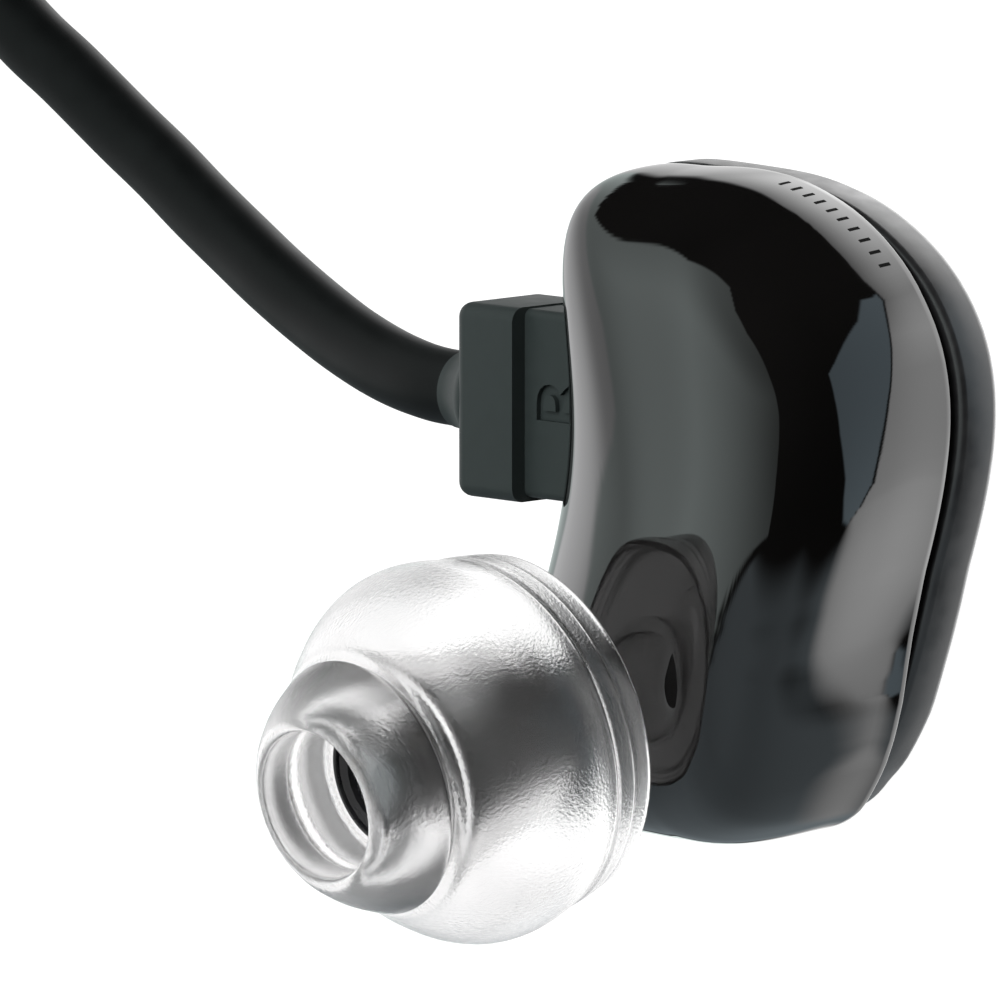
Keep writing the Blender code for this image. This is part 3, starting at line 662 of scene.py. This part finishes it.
# Every half degree round the outline
OUTLINE_TURNS = [math.radians(turn / 2) for turn in range(-360, 360)]


def dome_rows(inset):
    """Rows of the dome from its foot to its top, moved inwards by inset."""
    lip = 0.08 * MM
    foot = GROOVE / 2
    rows = []
    if inset == 0.0:
        rows += [(1.0, -lip * (1 - math.sin(a)), foot + lip * (1 - math.cos(a)))
                 for a in (0.0, 0.5, 1.0, math.pi / 2)]
    else:
        rows.append((1.0, -inset, foot))
    count = 40
    for index in range(1, count):
        rise = math.pi / 2 * (index / count) ** 1.05
        radius, height = power_circle(rise, DOME_POWER)
        lift = height * (DOME_HEIGHT - inset)
        if lift > 1.3 * lip:
            rows.append((radius, -inset, foot + lift))
    rows.append((0.0, -inset, foot + DOME_HEIGHT - inset))
    return rows


def joined_skin(name, outer, inner, columns):
    """One closed skin: outer rows up to the top, inner rows up to theirs, joined at the foot."""
    shape = bmesh.new()
    outside = bean_rings(shape, outer, columns, flank_point)
    lay_skin(shape, outside)
    inside = bean_rings(shape, inner, columns, bean_point)
    lay_skin(shape, inside)
    bridge(shape, outside[0], inside[0])
    bmesh.ops.recalc_face_normals(shape, faces=shape.faces)
    return new_mesh(name, shape)


def fit_plate(mesh):
    """Moves the faceplate's outer flank in or out, little by little round its outline."""
    for point in mesh.vertices:
        angle, nearness = outline_place(point.co)
        if nearness > 0:
            reach = read_table(PLATE_GROWTH, turned_degrees(angle)) * MM * nearness
            outwards = bean_point(angle, 1.0, 0.0, MM) - bean_point(angle, 1.0, 0.0)
            point.co += outwards / MM * reach


def outline_place(place):
    """Angle round the outline nearest to a place, and 1 near the outline, fading to 0 inside."""
    flat = Vector((place.x, place.y, SEAM_Z))
    distance, angle = min(((bean_point(turn, 1.0) - flat).length, turn) for turn in OUTLINE_TURNS)
    return angle, max(0.0, 1 - max(0.0, distance - PLATE_FULL_TO) / PLATE_FADE)


def make_shell():
    """Hollow dome with a boss and a seat for the nozzle, a slot for the plug and a vent."""
    skin = joined_skin("shell", dome_rows(0.0), dome_rows(WALL), 192)
    hole_radius = NECK + NECK_GAP
    seat = turned_mesh("seat", [
        (0.0, 4), (SEAT_RADIUS, 4), (SEAT_RADIUS, -SEAT_DEPTH), (hole_radius, -SEAT_DEPTH),
        (hole_radius, -4), (0.0, -4)], NOZZLE_PLACE, 64)
    boss_radius = SEAT_RADIUS + BOSS_WALL
    boss = turned_mesh("boss", [(0.0, BOSS_TOP), (boss_radius, BOSS_TOP), (boss_radius, BOSS_END),
                                (0.0, BOSS_END)], NOZZLE_PLACE, 64)
    slot = box_mesh("slot", (-9 * MM, PLUG_Y - SLOT_HALF_HEIGHT, PLUG_Z - SLOT_HALF_THICKNESS),
                    (-3 * MM, PLUG_Y + SLOT_HALF_HEIGHT, PLUG_Z + SLOT_HALF_THICKNESS),
                    0.25 * MM, 4)
    vent = turned_mesh("vent", [(0.0, 3), (VENT_RADIUS, 3), (VENT_RADIUS, -2), (0.0, -2)],
                       axis_matrix(VENT_PLACE, (-1, 0, 0)), 32)
    mesh = combined("shell", skin, [(boss, "UNION"), (seat, "DIFFERENCE"), (slot, "DIFFERENCE"),
                                    (vent, "DIFFERENCE")])
    shell = add_piece("shell", mesh, SHELL, "casing", 38)
    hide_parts("inner_shell")


def make_faceplate():
    """Plate with rounded edges and a tongue that reaches up into the shell."""
    low = -SEAM_Z
    top = PLATE_TOP - SEAM_Z + PLATE_RISE
    tongue_top = TONGUE_TOP - SEAM_Z
    inside = PLATE_INSIDE - SEAM_Z
    rows = [(radius, 0.0, low) for radius in (0.0, 0.35, 0.7, 0.9)]
    rows += [(1.0, PLATE_PROUD - PLATE_EDGE * (1 - math.sin(a)),
              low + PLATE_EDGE * (1 - math.cos(a)))
             for a in (0.0, 0.26, 0.52, 0.79, 1.05, 1.31, math.pi / 2)]
    rows += [(1.0, PLATE_PROUD, 0.5 * (low + top))]
    rows += [(1.0, PLATE_PROUD - PLATE_TOP_EDGE * (1 - math.cos(a)),
              top - PLATE_TOP_EDGE * (1 - math.sin(a))) for a in (0.0, 0.4, 0.8, 1.2, math.pi / 2)]
    rows += [(1.0, TONGUE_OUTER, top), (1.0, TONGUE_OUTER, tongue_top),
             (1.0, TONGUE_INNER, tongue_top), (1.0, TONGUE_INNER, inside),
             (0.5, TONGUE_INNER, inside), (0.0, 0.0, inside)]
    mesh = bean_loft("faceplate_skin", rows, 192)
    fit_plate(mesh)
    plate = add_piece("faceplate_skin", mesh, PLATE, "casing", 38)
    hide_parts("faceplate")


def make_gasket():
    """Strip in the groove between the shell and the faceplate."""
    gap = 0.05 * MM
    low = PLATE_TOP - SEAM_Z + PLATE_RISE + gap
    top = GROOVE / 2 - gap
    rows = [(1.0, -0.62 * MM, low), (1.0, -0.58 * MM, (low + top) / 2), (1.0, -0.62 * MM, top),
            (1.0, -0.95 * MM, top), (1.0, -0.95 * MM, low)]
    mesh = bean_loft("seam_strip", rows, 160, True)
    gasket = add_piece("seam_strip", mesh, GASKET, "casing", 40)
    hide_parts("seam_gasket")


def make_ticks():
    """Row of plain short marks on the shell's flank, beside the seam."""
    angle = TICK_START
    starts = [angle]
    travelled = 0.0
    while len(starts) < TICK_COUNT:
        before = flank_point(angle, 1.0, TICK_LINE)
        angle += TICK_STEP
        travelled += (flank_point(angle, 1.0, TICK_LINE) - before).length
        if travelled >= TICK_PITCH:
            travelled -= TICK_PITCH
            starts.append(angle)
    shape = bmesh.new()
    for start in starts:
        reach = (flank_point(start + TICK_STEP, 1.0, MM) - flank_point(start, 1.0, MM)).length
        half_angle = TICK_WIDTH / reach * TICK_STEP / 2
        rings = []
        for part in range(5):
            height = TICK_FOOT + TICK_LENGTH * part / 4
            radius = (1 - ((height - GROOVE / 2) / DOME_HEIGHT) ** DOME_POWER) ** (1 / DOME_POWER)
            rings.append([shape.verts.new(flank_point(start + side * half_angle, radius, height,
                                                     grow))
                          for side, grow in ((-1, TICK_PROUD), (1, TICK_PROUD),
                                             (1, -TICK_SUNK), (-1, -TICK_SUNK))])
        lay_skin(shape, rings)
        shape.faces.new(rings[0][::-1])
        shape.faces.new(rings[-1])
    bmesh.ops.recalc_face_normals(shape, faces=shape.faces)
    add_piece("flank_ticks", new_mesh("flank_ticks", shape), INK, "casing", 35)


def make_nozzle():
    """Nozzle with a lip at its mouth and a slimmer neck where it leaves the shell."""
    mouth = NOZZLE_LENGTH / MM
    profile = [
        (2.18, mouth - 0.55), (2.18, mouth - 0.04), (2.2, mouth), (2.3, mouth),
        (2.38, mouth - 0.05), (2.44, mouth - 0.16), (2.48, mouth - 0.35), (2.48, mouth - 0.8),
        (2.45, mouth - 0.98), (2.38, mouth - 1.12), (2.35, mouth - 1.25), (2.35, 3.3),
        (2.3, 3.1), (2.0, 2.75), (1.78, 2.4), (1.7, 2.0), (NECK, 1.4), (NECK, 0.5), (1.72, 0.2),
        (1.8, 0.0), (1.8, -0.52), (NECK, -0.6), (NECK, -2.4), (1.2, -2.4), (1.2, 2.6),
        (1.9, 3.3), (1.9, mouth - 0.55),
    ]
    nozzle = turned("nozzle_tube", profile, NOZZLE_PLACE, NOZZLE, "casing",
                    96, True)
    nozzle.visible_glossy = False
    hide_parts("nozzle")


def make_ear_tip():
    """Bell-shaped silicone tip: (radius, depth behind its front), down the outside and back."""
    outside = [
        (2.78, 0.0), (2.98, 0.02), (3.15, 0.12), (3.33, 0.28), (3.5, 0.45), (3.73, 0.75),
        (3.95, 1.05), (4.14, 1.38), (4.3, 1.7), (4.42, 1.95), (4.5, 2.12), (4.48, 2.22),
        (4.3, 2.32), (4.32, 2.4), (4.56, 2.42), (4.72, 2.5), (4.85, 2.72), (5.0, 2.95),
        (5.15, 3.15), (5.4, 3.45), (5.65, 3.75), (5.88, 4.08), (6.13, 4.45), (6.34, 4.82),
        (6.5, 5.2), (6.62, 5.58), (6.68, 5.95), (6.7, 6.35), (6.68, 6.7), (6.62, 7.1),
        (6.53, 7.5), (6.44, 7.85), (6.4, 8.08), (6.34, 8.12), (6.31, 8.17), (6.34, 8.22),
        (6.38, 8.28), (6.35, 8.5), (6.31, 8.76), (6.27, 8.98), (6.22, 9.02), (6.22, 9.06),
        (6.23, 9.12), (6.2, 9.3), (6.14, 9.55), (6.08, 9.78), (6.04, 9.92), (5.98, 10.0),
        (5.9, 10.02),
    ]
    inside = [
        (5.78, 9.98), (5.72, 9.9), (5.76, 9.6), (5.82, 9.2), (5.9, 8.7), (5.98, 8.2),
        (6.1, 7.7), (6.12, 7.2), (6.12, 6.7), (6.08, 6.2), (5.98, 5.7), (5.8, 5.2),
        (5.58, 4.78), (5.3, 4.4), (4.97, 4.03), (4.6, 3.75), (4.23, 3.53), (3.85, 3.45),
        (3.58, 3.5), (3.45, 3.7), (3.38, 4.0), (3.35, 4.4), (3.32, 6.0), (3.3, 8.0),
        (3.3, 8.6), (3.25, 8.85), (3.1, 9.0), (2.8, 9.02), (2.66, 8.96), (2.62, 8.8),
        (2.62, 5.0), (2.62, 1.2), (2.6, 1.05), (2.56, 0.95), (2.56, 0.4), (2.58, 0.15),
        (2.66, 0.03),
    ]
    front = TIP_FRONT / MM
    profile = [(radius, front - depth) for radius, depth in outside + inside]
    tip = turned("ear_tip_skin", softened(profile), NOZZLE_PLACE, SILICONE, "ear_tip",
                 144, True, 60)
    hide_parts("ear_tip")


# -------- plug

def letter_mesh(face_z):
    """Solid letter R that stands through the plug's face, its top towards the cable."""
    text = bpy.data.curves.new("side_letter", "FONT")
    text.body = "R"
    text.size = 3.1 * MM
    text.offset = 0.03 * MM
    text.resolution_u = 4
    text.extrude = 0.2 * MM
    text.align_x = "CENTER"
    text.align_y = "CENTER"
    letter = new_object("side_letter", text)
    letter.location = (LETTER_X, LETTER_Y, face_z)
    letter.rotation_euler.z = math.radians(90)
    bpy.context.view_layer.update()
    graph = bpy.context.evaluated_depsgraph_get()
    mesh = bpy.data.meshes.new_from_object(letter.evaluated_get(graph))
    mesh.transform(letter.matrix_world)
    bpy.data.objects.remove(letter, do_unlink=True)
    shape = bmesh.new()
    shape.from_mesh(mesh)
    bmesh.ops.remove_doubles(shape, verts=shape.verts, dist=0.000001)
    bmesh.ops.recalc_face_normals(shape, faces=shape.faces)
    shape.to_mesh(mesh)
    shape.free()
    return mesh


def cut_end(mesh, x):
    """Mesh without its part beyond x, with the cut closed by a flat face."""
    shape = bmesh.new()
    shape.from_mesh(mesh)
    cut = bmesh.ops.bisect_plane(shape, geom=shape.verts[:] + shape.edges[:] + shape.faces[:],
                                 plane_co=(x, 0, 0), plane_no=(1, 0, 0), clear_outer=True)
    rim = [part for part in cut["geom_cut"] if isinstance(part, bmesh.types.BMEdge)]
    bmesh.ops.contextual_create(shape, geom=rim)
    bmesh.ops.recalc_face_normals(shape, faces=shape.faces)
    shape.to_mesh(mesh)
    shape.free()
    return mesh


def make_grip():
    """Thick outer block with a round collar where the cable comes in."""
    mesh = box_mesh("plug_grip_body", (PLUG_OUTER_X, PLUG_LOW_Y, PLUG_LOW_Z),
                    (PLUG_STEP_X + MM, PLUG_HIGH_Y, PLUG_HIGH_Z), 0.52 * MM, 8)
    mesh = cut_end(mesh, PLUG_STEP_X)
    place = axis_matrix(Vector((PLUG_OUTER_X, PLUG_Y, PLUG_Z)), (-1, 0, 0))
    collar = turned_mesh("collar", [
        (0.0, 1.55), (1.36, 1.55), (1.39, 1.3), (1.45, 1.05), (1.55, 0.8), (1.66, 0.55),
        (1.8, 0.3), (1.94, 0.1), (2.0, -0.1), (2.0, -0.6), (0.0, -0.6)], place, 96)
    mesh = combined("plug_grip_body", mesh, [(collar, "UNION")])
    grip = add_piece("plug_grip_body", mesh, PLUG, "cable", 35)
    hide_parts("plug_grip")


def make_core():
    """Thinner inner block, cut to the shell's curve, with its letter and its nose."""
    face_z = PLUG_HIGH_Z - PLUG_RECESS
    core = box_mesh("plug_core_body",
                    (PLUG_STEP_X - MM, PLUG_LOW_Y + 0.15 * MM, PLUG_LOW_Z + PLUG_RECESS),
                    (-4 * MM, PLUG_HIGH_Y - 0.06 * MM, face_z), 0.3 * MM, 6)
    mirror = Matrix.Scale(-1, 4, (1, 0, 0))
    core.transform(mirror)
    core = cut_end(core, -PLUG_STEP_X - FIT_GAP / 4)
    core.transform(mirror)
    shell_space = bean_loft("shell_space", [(0.0, 0.0, -SEAM_Z), (1.0, FIT_GAP, -SEAM_Z)] + [
        (radius, grow + FIT_GAP, height) for radius, grow, height in dome_rows(0.0)[3:]], 128)
    nose = box_mesh("nose", (PLUG_SEAT_X - 0.5 * MM, PLUG_Y - NOSE_HALF_HEIGHT,
                             PLUG_Z - NOSE_HALF_THICKNESS),
                    (NOSE_END_X, PLUG_Y + NOSE_HALF_HEIGHT, PLUG_Z + NOSE_HALF_THICKNESS),
                    0.2 * MM, 4)
    core = combined("plug_core_body", core, [
        (shell_space, "DIFFERENCE"), (nose, "UNION"), (letter_mesh(face_z), "DIFFERENCE")])
    block = add_piece("plug_core_body", core, PLUG, "cable", 35)
    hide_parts("plug_core")


# -------- cable pieces

def make_sleeve():
    """Tapered cap between the hook's end and the thin lead, with two shallow grooves."""
    end = HOOK_LINE[-1]
    heading = end - HOOK_LINE[-2]
    profile = [
        (0.0, 5.2), (0.9, 5.2), (0.97, 5.15), (1.0, 5.05), (1.05, 4.8), (1.42, 2.4),
        (1.45, 2.2), (1.46, 1.9), (1.4, 1.86), (1.4, 1.74), (1.46, 1.7), (1.46, 1.4),
        (1.4, 1.36), (1.4, 1.24), (1.46, 1.2), (1.46, 0.6), (1.43, 0.44), (1.36, 0.33),
        (1.28, 0.3), (1.2, 0.3), (1.2, -0.6), (0.0, -0.6),
    ]
    sleeve = turned("hook_end_cap", profile, axis_matrix(end, heading), SLEEVE, "cable",
                    64)
    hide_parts("hook_end_sleeve")
    return sleeve


def make_tie():
    """Rounded strap round the coil's section."""
    low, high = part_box("coil_tie")
    gap = 0.06 * MM
    thick = 0.35 * MM
    outer = box_mesh("coil_strap", low, high, 0.17 * MM, 4)
    inner_low = Vector((low.x - MM, low.y + thick, COIL_LOW_TURN - LEAD_RADIUS - gap))
    inner_high = Vector((high.x + MM, high.y - thick, high.z - thick))
    hole = box_mesh("hole", inner_low, inner_high)
    strap = combined("coil_strap", outer, [(hole, "DIFFERENCE")])
    tie = add_piece("coil_strap", strap, TIE, "cable", 40)
    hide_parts("coil_tie")
    return tie


def make_jack():
    """Ringed strain relief and grooved housing of the jack."""
    place = axis_matrix(JACK_START, (1, 0, 0))
    relief = [(0.0, 7.2), (1.9, 7.2), (2.0, 7.1), (2.0, 6.1), (1.95, 5.98), (1.7, 5.8),
              (1.6, 5.7), (1.6, 5.15), (1.72, 5.05), (1.8, 4.9), (1.8, 4.5), (1.76, 4.2),
              (1.5, 3.98), (1.45, 3.9), (1.45, 3.35), (1.56, 3.25), (1.62, 3.1), (1.6, 2.7),
              (1.55, 2.4), (1.34, 2.18), (1.3, 2.1), (1.3, 1.55), (1.38, 1.45), (1.41, 1.3),
              (1.36, 0.9), (1.2, 0.08), (1.12, 0.0), (0.0, 0.0)]
    sleeve = turned("jack_relief", relief, place, CABLE, "cable", 64)
    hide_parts("jack_strain_relief")
    housing = [(0.0, 21.5), (2.5, 21.5), (2.62, 21.46), (2.8, 21.33), (2.9, 21.2), (2.96, 20.8),
               (3.0, 20.2), (3.0, 19.6), (2.92, 19.52), (2.92, 19.3), (3.0, 19.22)]
    for index in range(8):
        start = 18.2 - index * 0.55
        housing += [(3.0, start), (2.9, start - 0.1), (2.9, start - 0.2), (3.0, start - 0.3)]
    housing += [(3.0, 8.6), (2.96, 8.2), (2.85, 7.6), (2.7, 7.25), (2.58, 7.06), (2.45, 7.0),
                (0.0, 7.0)]
    body = turned("jack_body", housing, place, SLEEVE, "cable", 80)
    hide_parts("jack_housing")
    return [sleeve, body]


def finish_cad(nodes, material):
    """Material and shading for nodes that are shown as they are."""
    for name in nodes:
        node = frame["nodes"][name]
        node.data.materials.clear()
        node.data.materials.append(material)
        shade(node, 35)


make_shell()
make_faceplate()
make_gasket()
make_ticks()
make_nozzle()
make_ear_tip()
make_grip()
make_core()
cap = make_sleeve()
strap = make_tie()
jack_pieces = make_jack()

JACK_NODES = ["jack_sleeve", "jack_insulator_1", "jack_ring", "jack_insulator_2", "jack_tip"]

for nodes, material in [
        (["plug_pin_1", "plug_pin_2", "socket_contact_1", "socket_contact_2"], GOLD),
        (JACK_NODES[::2], GOLD),
        (JACK_NODES[1::2], INSULATOR),
        (["nozzle_mesh", "vent_screen", "driver_grille"], STEEL_MESH),
        (["mesh_ring"], NOZZLE),
        (["acoustic_damper"], FOAM),
        (["driver_basket"], FRAME),
        (["diaphragm", "diaphragm_surround"], FILM),
        (["voice_coil", "driver_wire_2"], COPPER),
        (["driver_wire_1"], RED_WIRE),
        (["driver_magnet"], MAGNET),
        (["pole_plate", "driver_yoke"], IRON),
        (["rear_damper"], FABRIC),
        (["driver_gasket"], GASKET),
        (["terminal_board"], BOARD),
        (["socket_housing"], SOCKET)]:
    finish_cad(nodes, material)

# Kept out of mirror images in the gloss, with the nozzle
for piece in (HOOK, LEAD, cap, strap, *jack_pieces,
              *(frame["nodes"][name] for name in [*JACK_NODES, "acoustic_damper"])):
    piece.visible_glossy = False


# -------- stage and light

# The studio that the gloss reflects: tables of (azimuth from +X round by +Y, value), where an edge
# is an elevation in degrees, a light is a brightness and a rise is brightness per degree
OVERHEAD_EDGE = [(-180, -60), (-30, 31), (-11, 34), (0, 35.5), (13, 35), (28, 32.5), (39, 30),
                 (52, 28.7), (65, 28), (80, 26), (94, 24), (104, 19), (109, 10.5), (116, 9),
                 (128, 7.5), (134, 2), (142, -10), (144.5, -25), (149, -33), (155, -37),
                 (160, -40), (166, -45), (172, -60), (180, -60)]
WALL_LIGHT = [(-150, 0.4), (-132, 0.45), (-120, 0.62), (-108, 0.72), (-84, 0.62), (-70, 0.58),
              (-48, 0.68), (-30, 0.68)]
SIDE_EDGE = [(-56, -55), (-40, -51), (-36, -48), (-27, -45), (-19, -43), (5, -33), (26, -26),
             (40, -22), (44, -26), (60, -37.5), (69, -39.2), (75, -60)]
SIDE_GAP = 0.5
BACKDROP_EDGE = [(-180, -40), (-150, -45), (-130, -50), (-108, -46.5), (-84, -46.6),
                 (-72, -46.6), (-64, -47.6), (-60, -49), (-56.5, -50), (-52, -49.8),
                 (-46, -50.4), (-42, -50.6), (-38.5, -50.6), (-36, -52.6), (-30, -53.6),
                 (-17, -52.5), (10, -49.7), (40, -47.4), (67, -45), (78, -40.8), (84, -39.2),
                 (95, -37), (105, -35.8), (112, -35.2), (120, -34.8), (139, -35.8), (149, -37),
                 (156, -39), (170, -41), (180, -40)]
BACKDROP_LIGHT = [(-180, 1.0), (-108, 0.75), (-84, 1.0), (-72, 1.1), (-60, 1.7), (-48, 2.0),
                  (-20, 2.3), (24, 2.4), (48, 2.4), (60, 1.7), (72, 1.2), (84, 0.9), (180, 0.8)]
BACKDROP_RISE = [(-180, 0.05), (-84, 0.1), (-60, 0.14), (-40, 0.1), (-20, 0.05), (24, 0.06),
                 (48, 0.2), (60, 0.3), (72, 0.4), (96, 0.35), (132, 0.25), (144, 0.2),
                 (156, 0.1), (180, 0.05)]
BACKDROP_MOST = 3.8
# Edge of the overhead panel's plain strip, as (y, x) of the direction
STRIP_EDGE = [(-1, -0.96), (-0.08, -0.95), (-0.04, -0.9), (0.03, -0.84), (0.12, -0.8),
              (0.4, -0.79), (0.56, -0.83), (1, -0.83)]
DARK = Vector((0.008, 0.008, 0.008))
WALL_TINT = Vector((0.88, 1.02, 1.1))
PANEL_TINT = Vector((0.93, 1.04, 1.02))
STRIP_TINT = Vector((1.0, 1.0, 1.01))
SIDE_TINT = Vector((0.82, 1.02, 1.15))
PANEL_BLUR = 0.6
DOME_CENTRE = Vector((0, 0, 5)) * MM
DOME_RADIUS = 0.5
DOME_COLUMNS = 360
BACKDROP_RADIUS = 4.0


def studio_light(direction):
    """Colour of the light that comes from a direction.

    The wall, the overhead panel with its plain strip, the side panel and the backdrop are laid
    one over the other, each with a soft edge.
    """
    azimuth = math.degrees(math.atan2(direction.y, direction.x))
    elevation = math.degrees(math.asin(max(-1.0, min(1.0, direction.z))))
    edge = -32 - 10 * (1 - ease(-45, -22, elevation))
    wall = (1 - ease(edge - 8, edge + 2, azimuth)) * (1 - ease(-0.42, -0.395, direction.y))
    wall_light = read_table(WALL_LIGHT, azimuth) * (0.85 + 0.3 * ease(-30, 20, elevation))
    light = DARK.lerp(WALL_TINT * wall_light, wall)

    edge = read_table(OVERHEAD_EDGE, azimuth)
    overhead = (ease(edge - PANEL_BLUR, edge + PANEL_BLUR, elevation)
                * ease(-0.37, -0.358, direction.y))
    fall = 0.62 + 0.38 * ease(-0.3, 0.35, direction.z)
    bright = max(0.3, 1.45 - 1.2 * direction.x - 0.35 * direction.y) * fall
    shaded = 1 - 0.45 * ease(0.62, 0.88, direction.y) - 0.54 * ease(0.6, 0.8, -direction.x)
    panel_light = PANEL_TINT * bright * max(0.3, shaded)
    strip_light = STRIP_TINT * bright * (0.58 + 0.42 * ease(0.86, 1, -direction.x))
    edge = read_table(STRIP_EDGE, direction.y)
    strip = 1 - ease(edge - 0.015, edge + 0.015, direction.x)
    light = light.lerp(panel_light.lerp(strip_light, strip), overhead)

    backdrop_edge = read_table(BACKDROP_EDGE, azimuth)
    edge = read_table(SIDE_EDGE, azimuth)
    low = backdrop_edge + SIDE_GAP
    if SIDE_EDGE[0][0] < azimuth < SIDE_EDGE[-1][0] and edge > low:
        side = ((1 - ease(edge - PANEL_BLUR, edge + PANEL_BLUR, elevation))
                * ease(low - 0.1, low + 0.1, elevation))
        light = light.lerp(SIDE_TINT, side)

    blur = 0.12 + 2.8 * (1 - ease(-46, -34, azimuth)) + 0.8 * ease(110, 150, azimuth)
    backdrop = 1 - ease(backdrop_edge - blur, backdrop_edge + blur, elevation)
    rise = read_table(BACKDROP_RISE, azimuth) * max(0.0, backdrop_edge - elevation)
    bright = min(BACKDROP_MOST, read_table(BACKDROP_LIGHT, azimuth) + rise)
    return light.lerp(Vector((1, 1, 1)) * bright, backdrop)


def dome_heights():
    """Elevations of the dome's rows: close together where the part mirrors a narrow band."""
    rows = [-90.0, -80.0, -70.0, -62.0]
    while rows[-1] < -36:
        rows.append(rows[-1] + 0.25)
    while rows[-1] < 50:
        rows.append(rows[-1] + 0.5)
    while rows[-1] < 86:
        rows.append(rows[-1] + 2.0)
    return rows + [90.0]


def emitting(name, link_from=None, light=(1, 1, 1)):
    """Material that only glows, in one colour or in the colours stored on the mesh."""
    glow = bpy.data.materials.new(name)
    glow.use_nodes = True
    nodes = glow.node_tree.nodes
    nodes.clear()
    emission = nodes.new("ShaderNodeEmission")
    emission.inputs["Color"].default_value = (*light, 1.0)
    output = nodes.new("ShaderNodeOutputMaterial")
    glow.node_tree.links.new(emission.outputs["Emission"], output.inputs["Surface"])
    if link_from:
        source = nodes.new("ShaderNodeAttribute")
        source.attribute_name = link_from
        glow.node_tree.links.new(source.outputs["Color"], emission.inputs["Color"])
    glow.cycles.emission_sampling = "NONE"
    return glow


def make_dome():
    """Studio as the gloss sees it: a sphere round the part that nothing else sees."""
    shape = bmesh.new()
    rings = []
    for elevation in dome_heights():
        lift = math.radians(elevation)
        count = 1 if abs(elevation) == 90 else DOME_COLUMNS
        rings.append([shape.verts.new(DOME_RADIUS * Vector((
            math.cos(lift) * math.cos(2 * math.pi * index / DOME_COLUMNS),
            math.cos(lift) * math.sin(2 * math.pi * index / DOME_COLUMNS), math.sin(lift))))
            for index in range(count)])
    lay_skin(shape, rings)
    mesh = new_mesh("studio_dome", shape)
    colours = mesh.color_attributes.new("light", "FLOAT_COLOR", "POINT")
    for point, colour in zip(mesh.vertices, colours.data):
        colour.color = (*studio_light(point.co.normalized()), 1.0)
    mesh.materials.append(emitting("studio_glow", link_from="light"))
    dome = set_dome("studio_dome", mesh)
    dome.visible_transmission = False


def make_plain_dome(name, radius, light):
    """Evenly glowing sphere round everything, which the gloss does not see."""
    shape = bmesh.new()
    bmesh.ops.create_icosphere(shape, subdivisions=4, radius=radius)
    mesh = new_mesh(name, shape)
    mesh.materials.append(emitting(name + "_glow", light=(light, light, light)))
    dome = set_dome(name, mesh)
    dome.visible_glossy = False
    return dome


def make_surroundings():
    """Pale surroundings: one sphere seen through clear silicone, one seen behind the part."""
    make_plain_dome("outer_dome", 1.1 * DOME_RADIUS, 0.95)
    backdrop = make_plain_dome("far_backdrop", BACKDROP_RADIUS, 0.98)
    backdrop.visible_camera = True
    backdrop.visible_transmission = False


def set_dome(name, mesh):
    """Sphere round the part that lights nothing and casts no shadow."""
    dome = new_object(name, mesh)
    dome.location = DOME_CENTRE
    dome.visible_camera = False
    dome.visible_diffuse = False
    dome.visible_shadow = False
    return dome


def make_floor():
    """Pale floor that glows, so that it stays even and nearly white."""
    shape = bmesh.new()
    bmesh.ops.create_grid(shape, x_segments=2, y_segments=2, size=4.0)
    mesh = new_mesh("floor", shape)
    mesh.materials.append(new_material("pale_floor", (0.15, 0.15, 0.15), 0.9,
                                       Emission_Color=(1, 1, 1, 1), Emission_Strength=0.98))
    floor = new_object("floor", mesh)
    floor.location.z = -0.02 * MM
    floor.visible_glossy = False


def make_light(name, place, target, width, height, power):
    """Rectangular lamp that the camera and the gloss do not see."""
    data = bpy.data.lights.new(name, "AREA")
    data.shape = "RECTANGLE"
    data.size = width
    data.size_y = height
    data.energy = power
    light = new_object(name, data)
    light.location = place
    light.rotation_mode = "QUATERNION"
    light.rotation_quaternion = (Vector(target) - Vector(place)).to_track_quat("-Z", "Y")
    light.visible_camera = False
    light.visible_glossy = False


def make_world():
    """Dim even light from everywhere."""
    world = bpy.data.worlds.new("studio")
    world.use_nodes = True
    background = world.node_tree.nodes["Background"]
    background.inputs["Color"].default_value = (0.9, 0.9, 0.9, 1)
    background.inputs["Strength"].default_value = 0.35
    bpy.context.scene.world = world


make_dome()
make_surroundings()
make_floor()
make_world()
make_light("key", (0.1, 0.25, 0.5), (0, 0, 0.005), 0.4, 0.4, 6)
bpy.context.scene.view_settings.view_transform = "Standard"
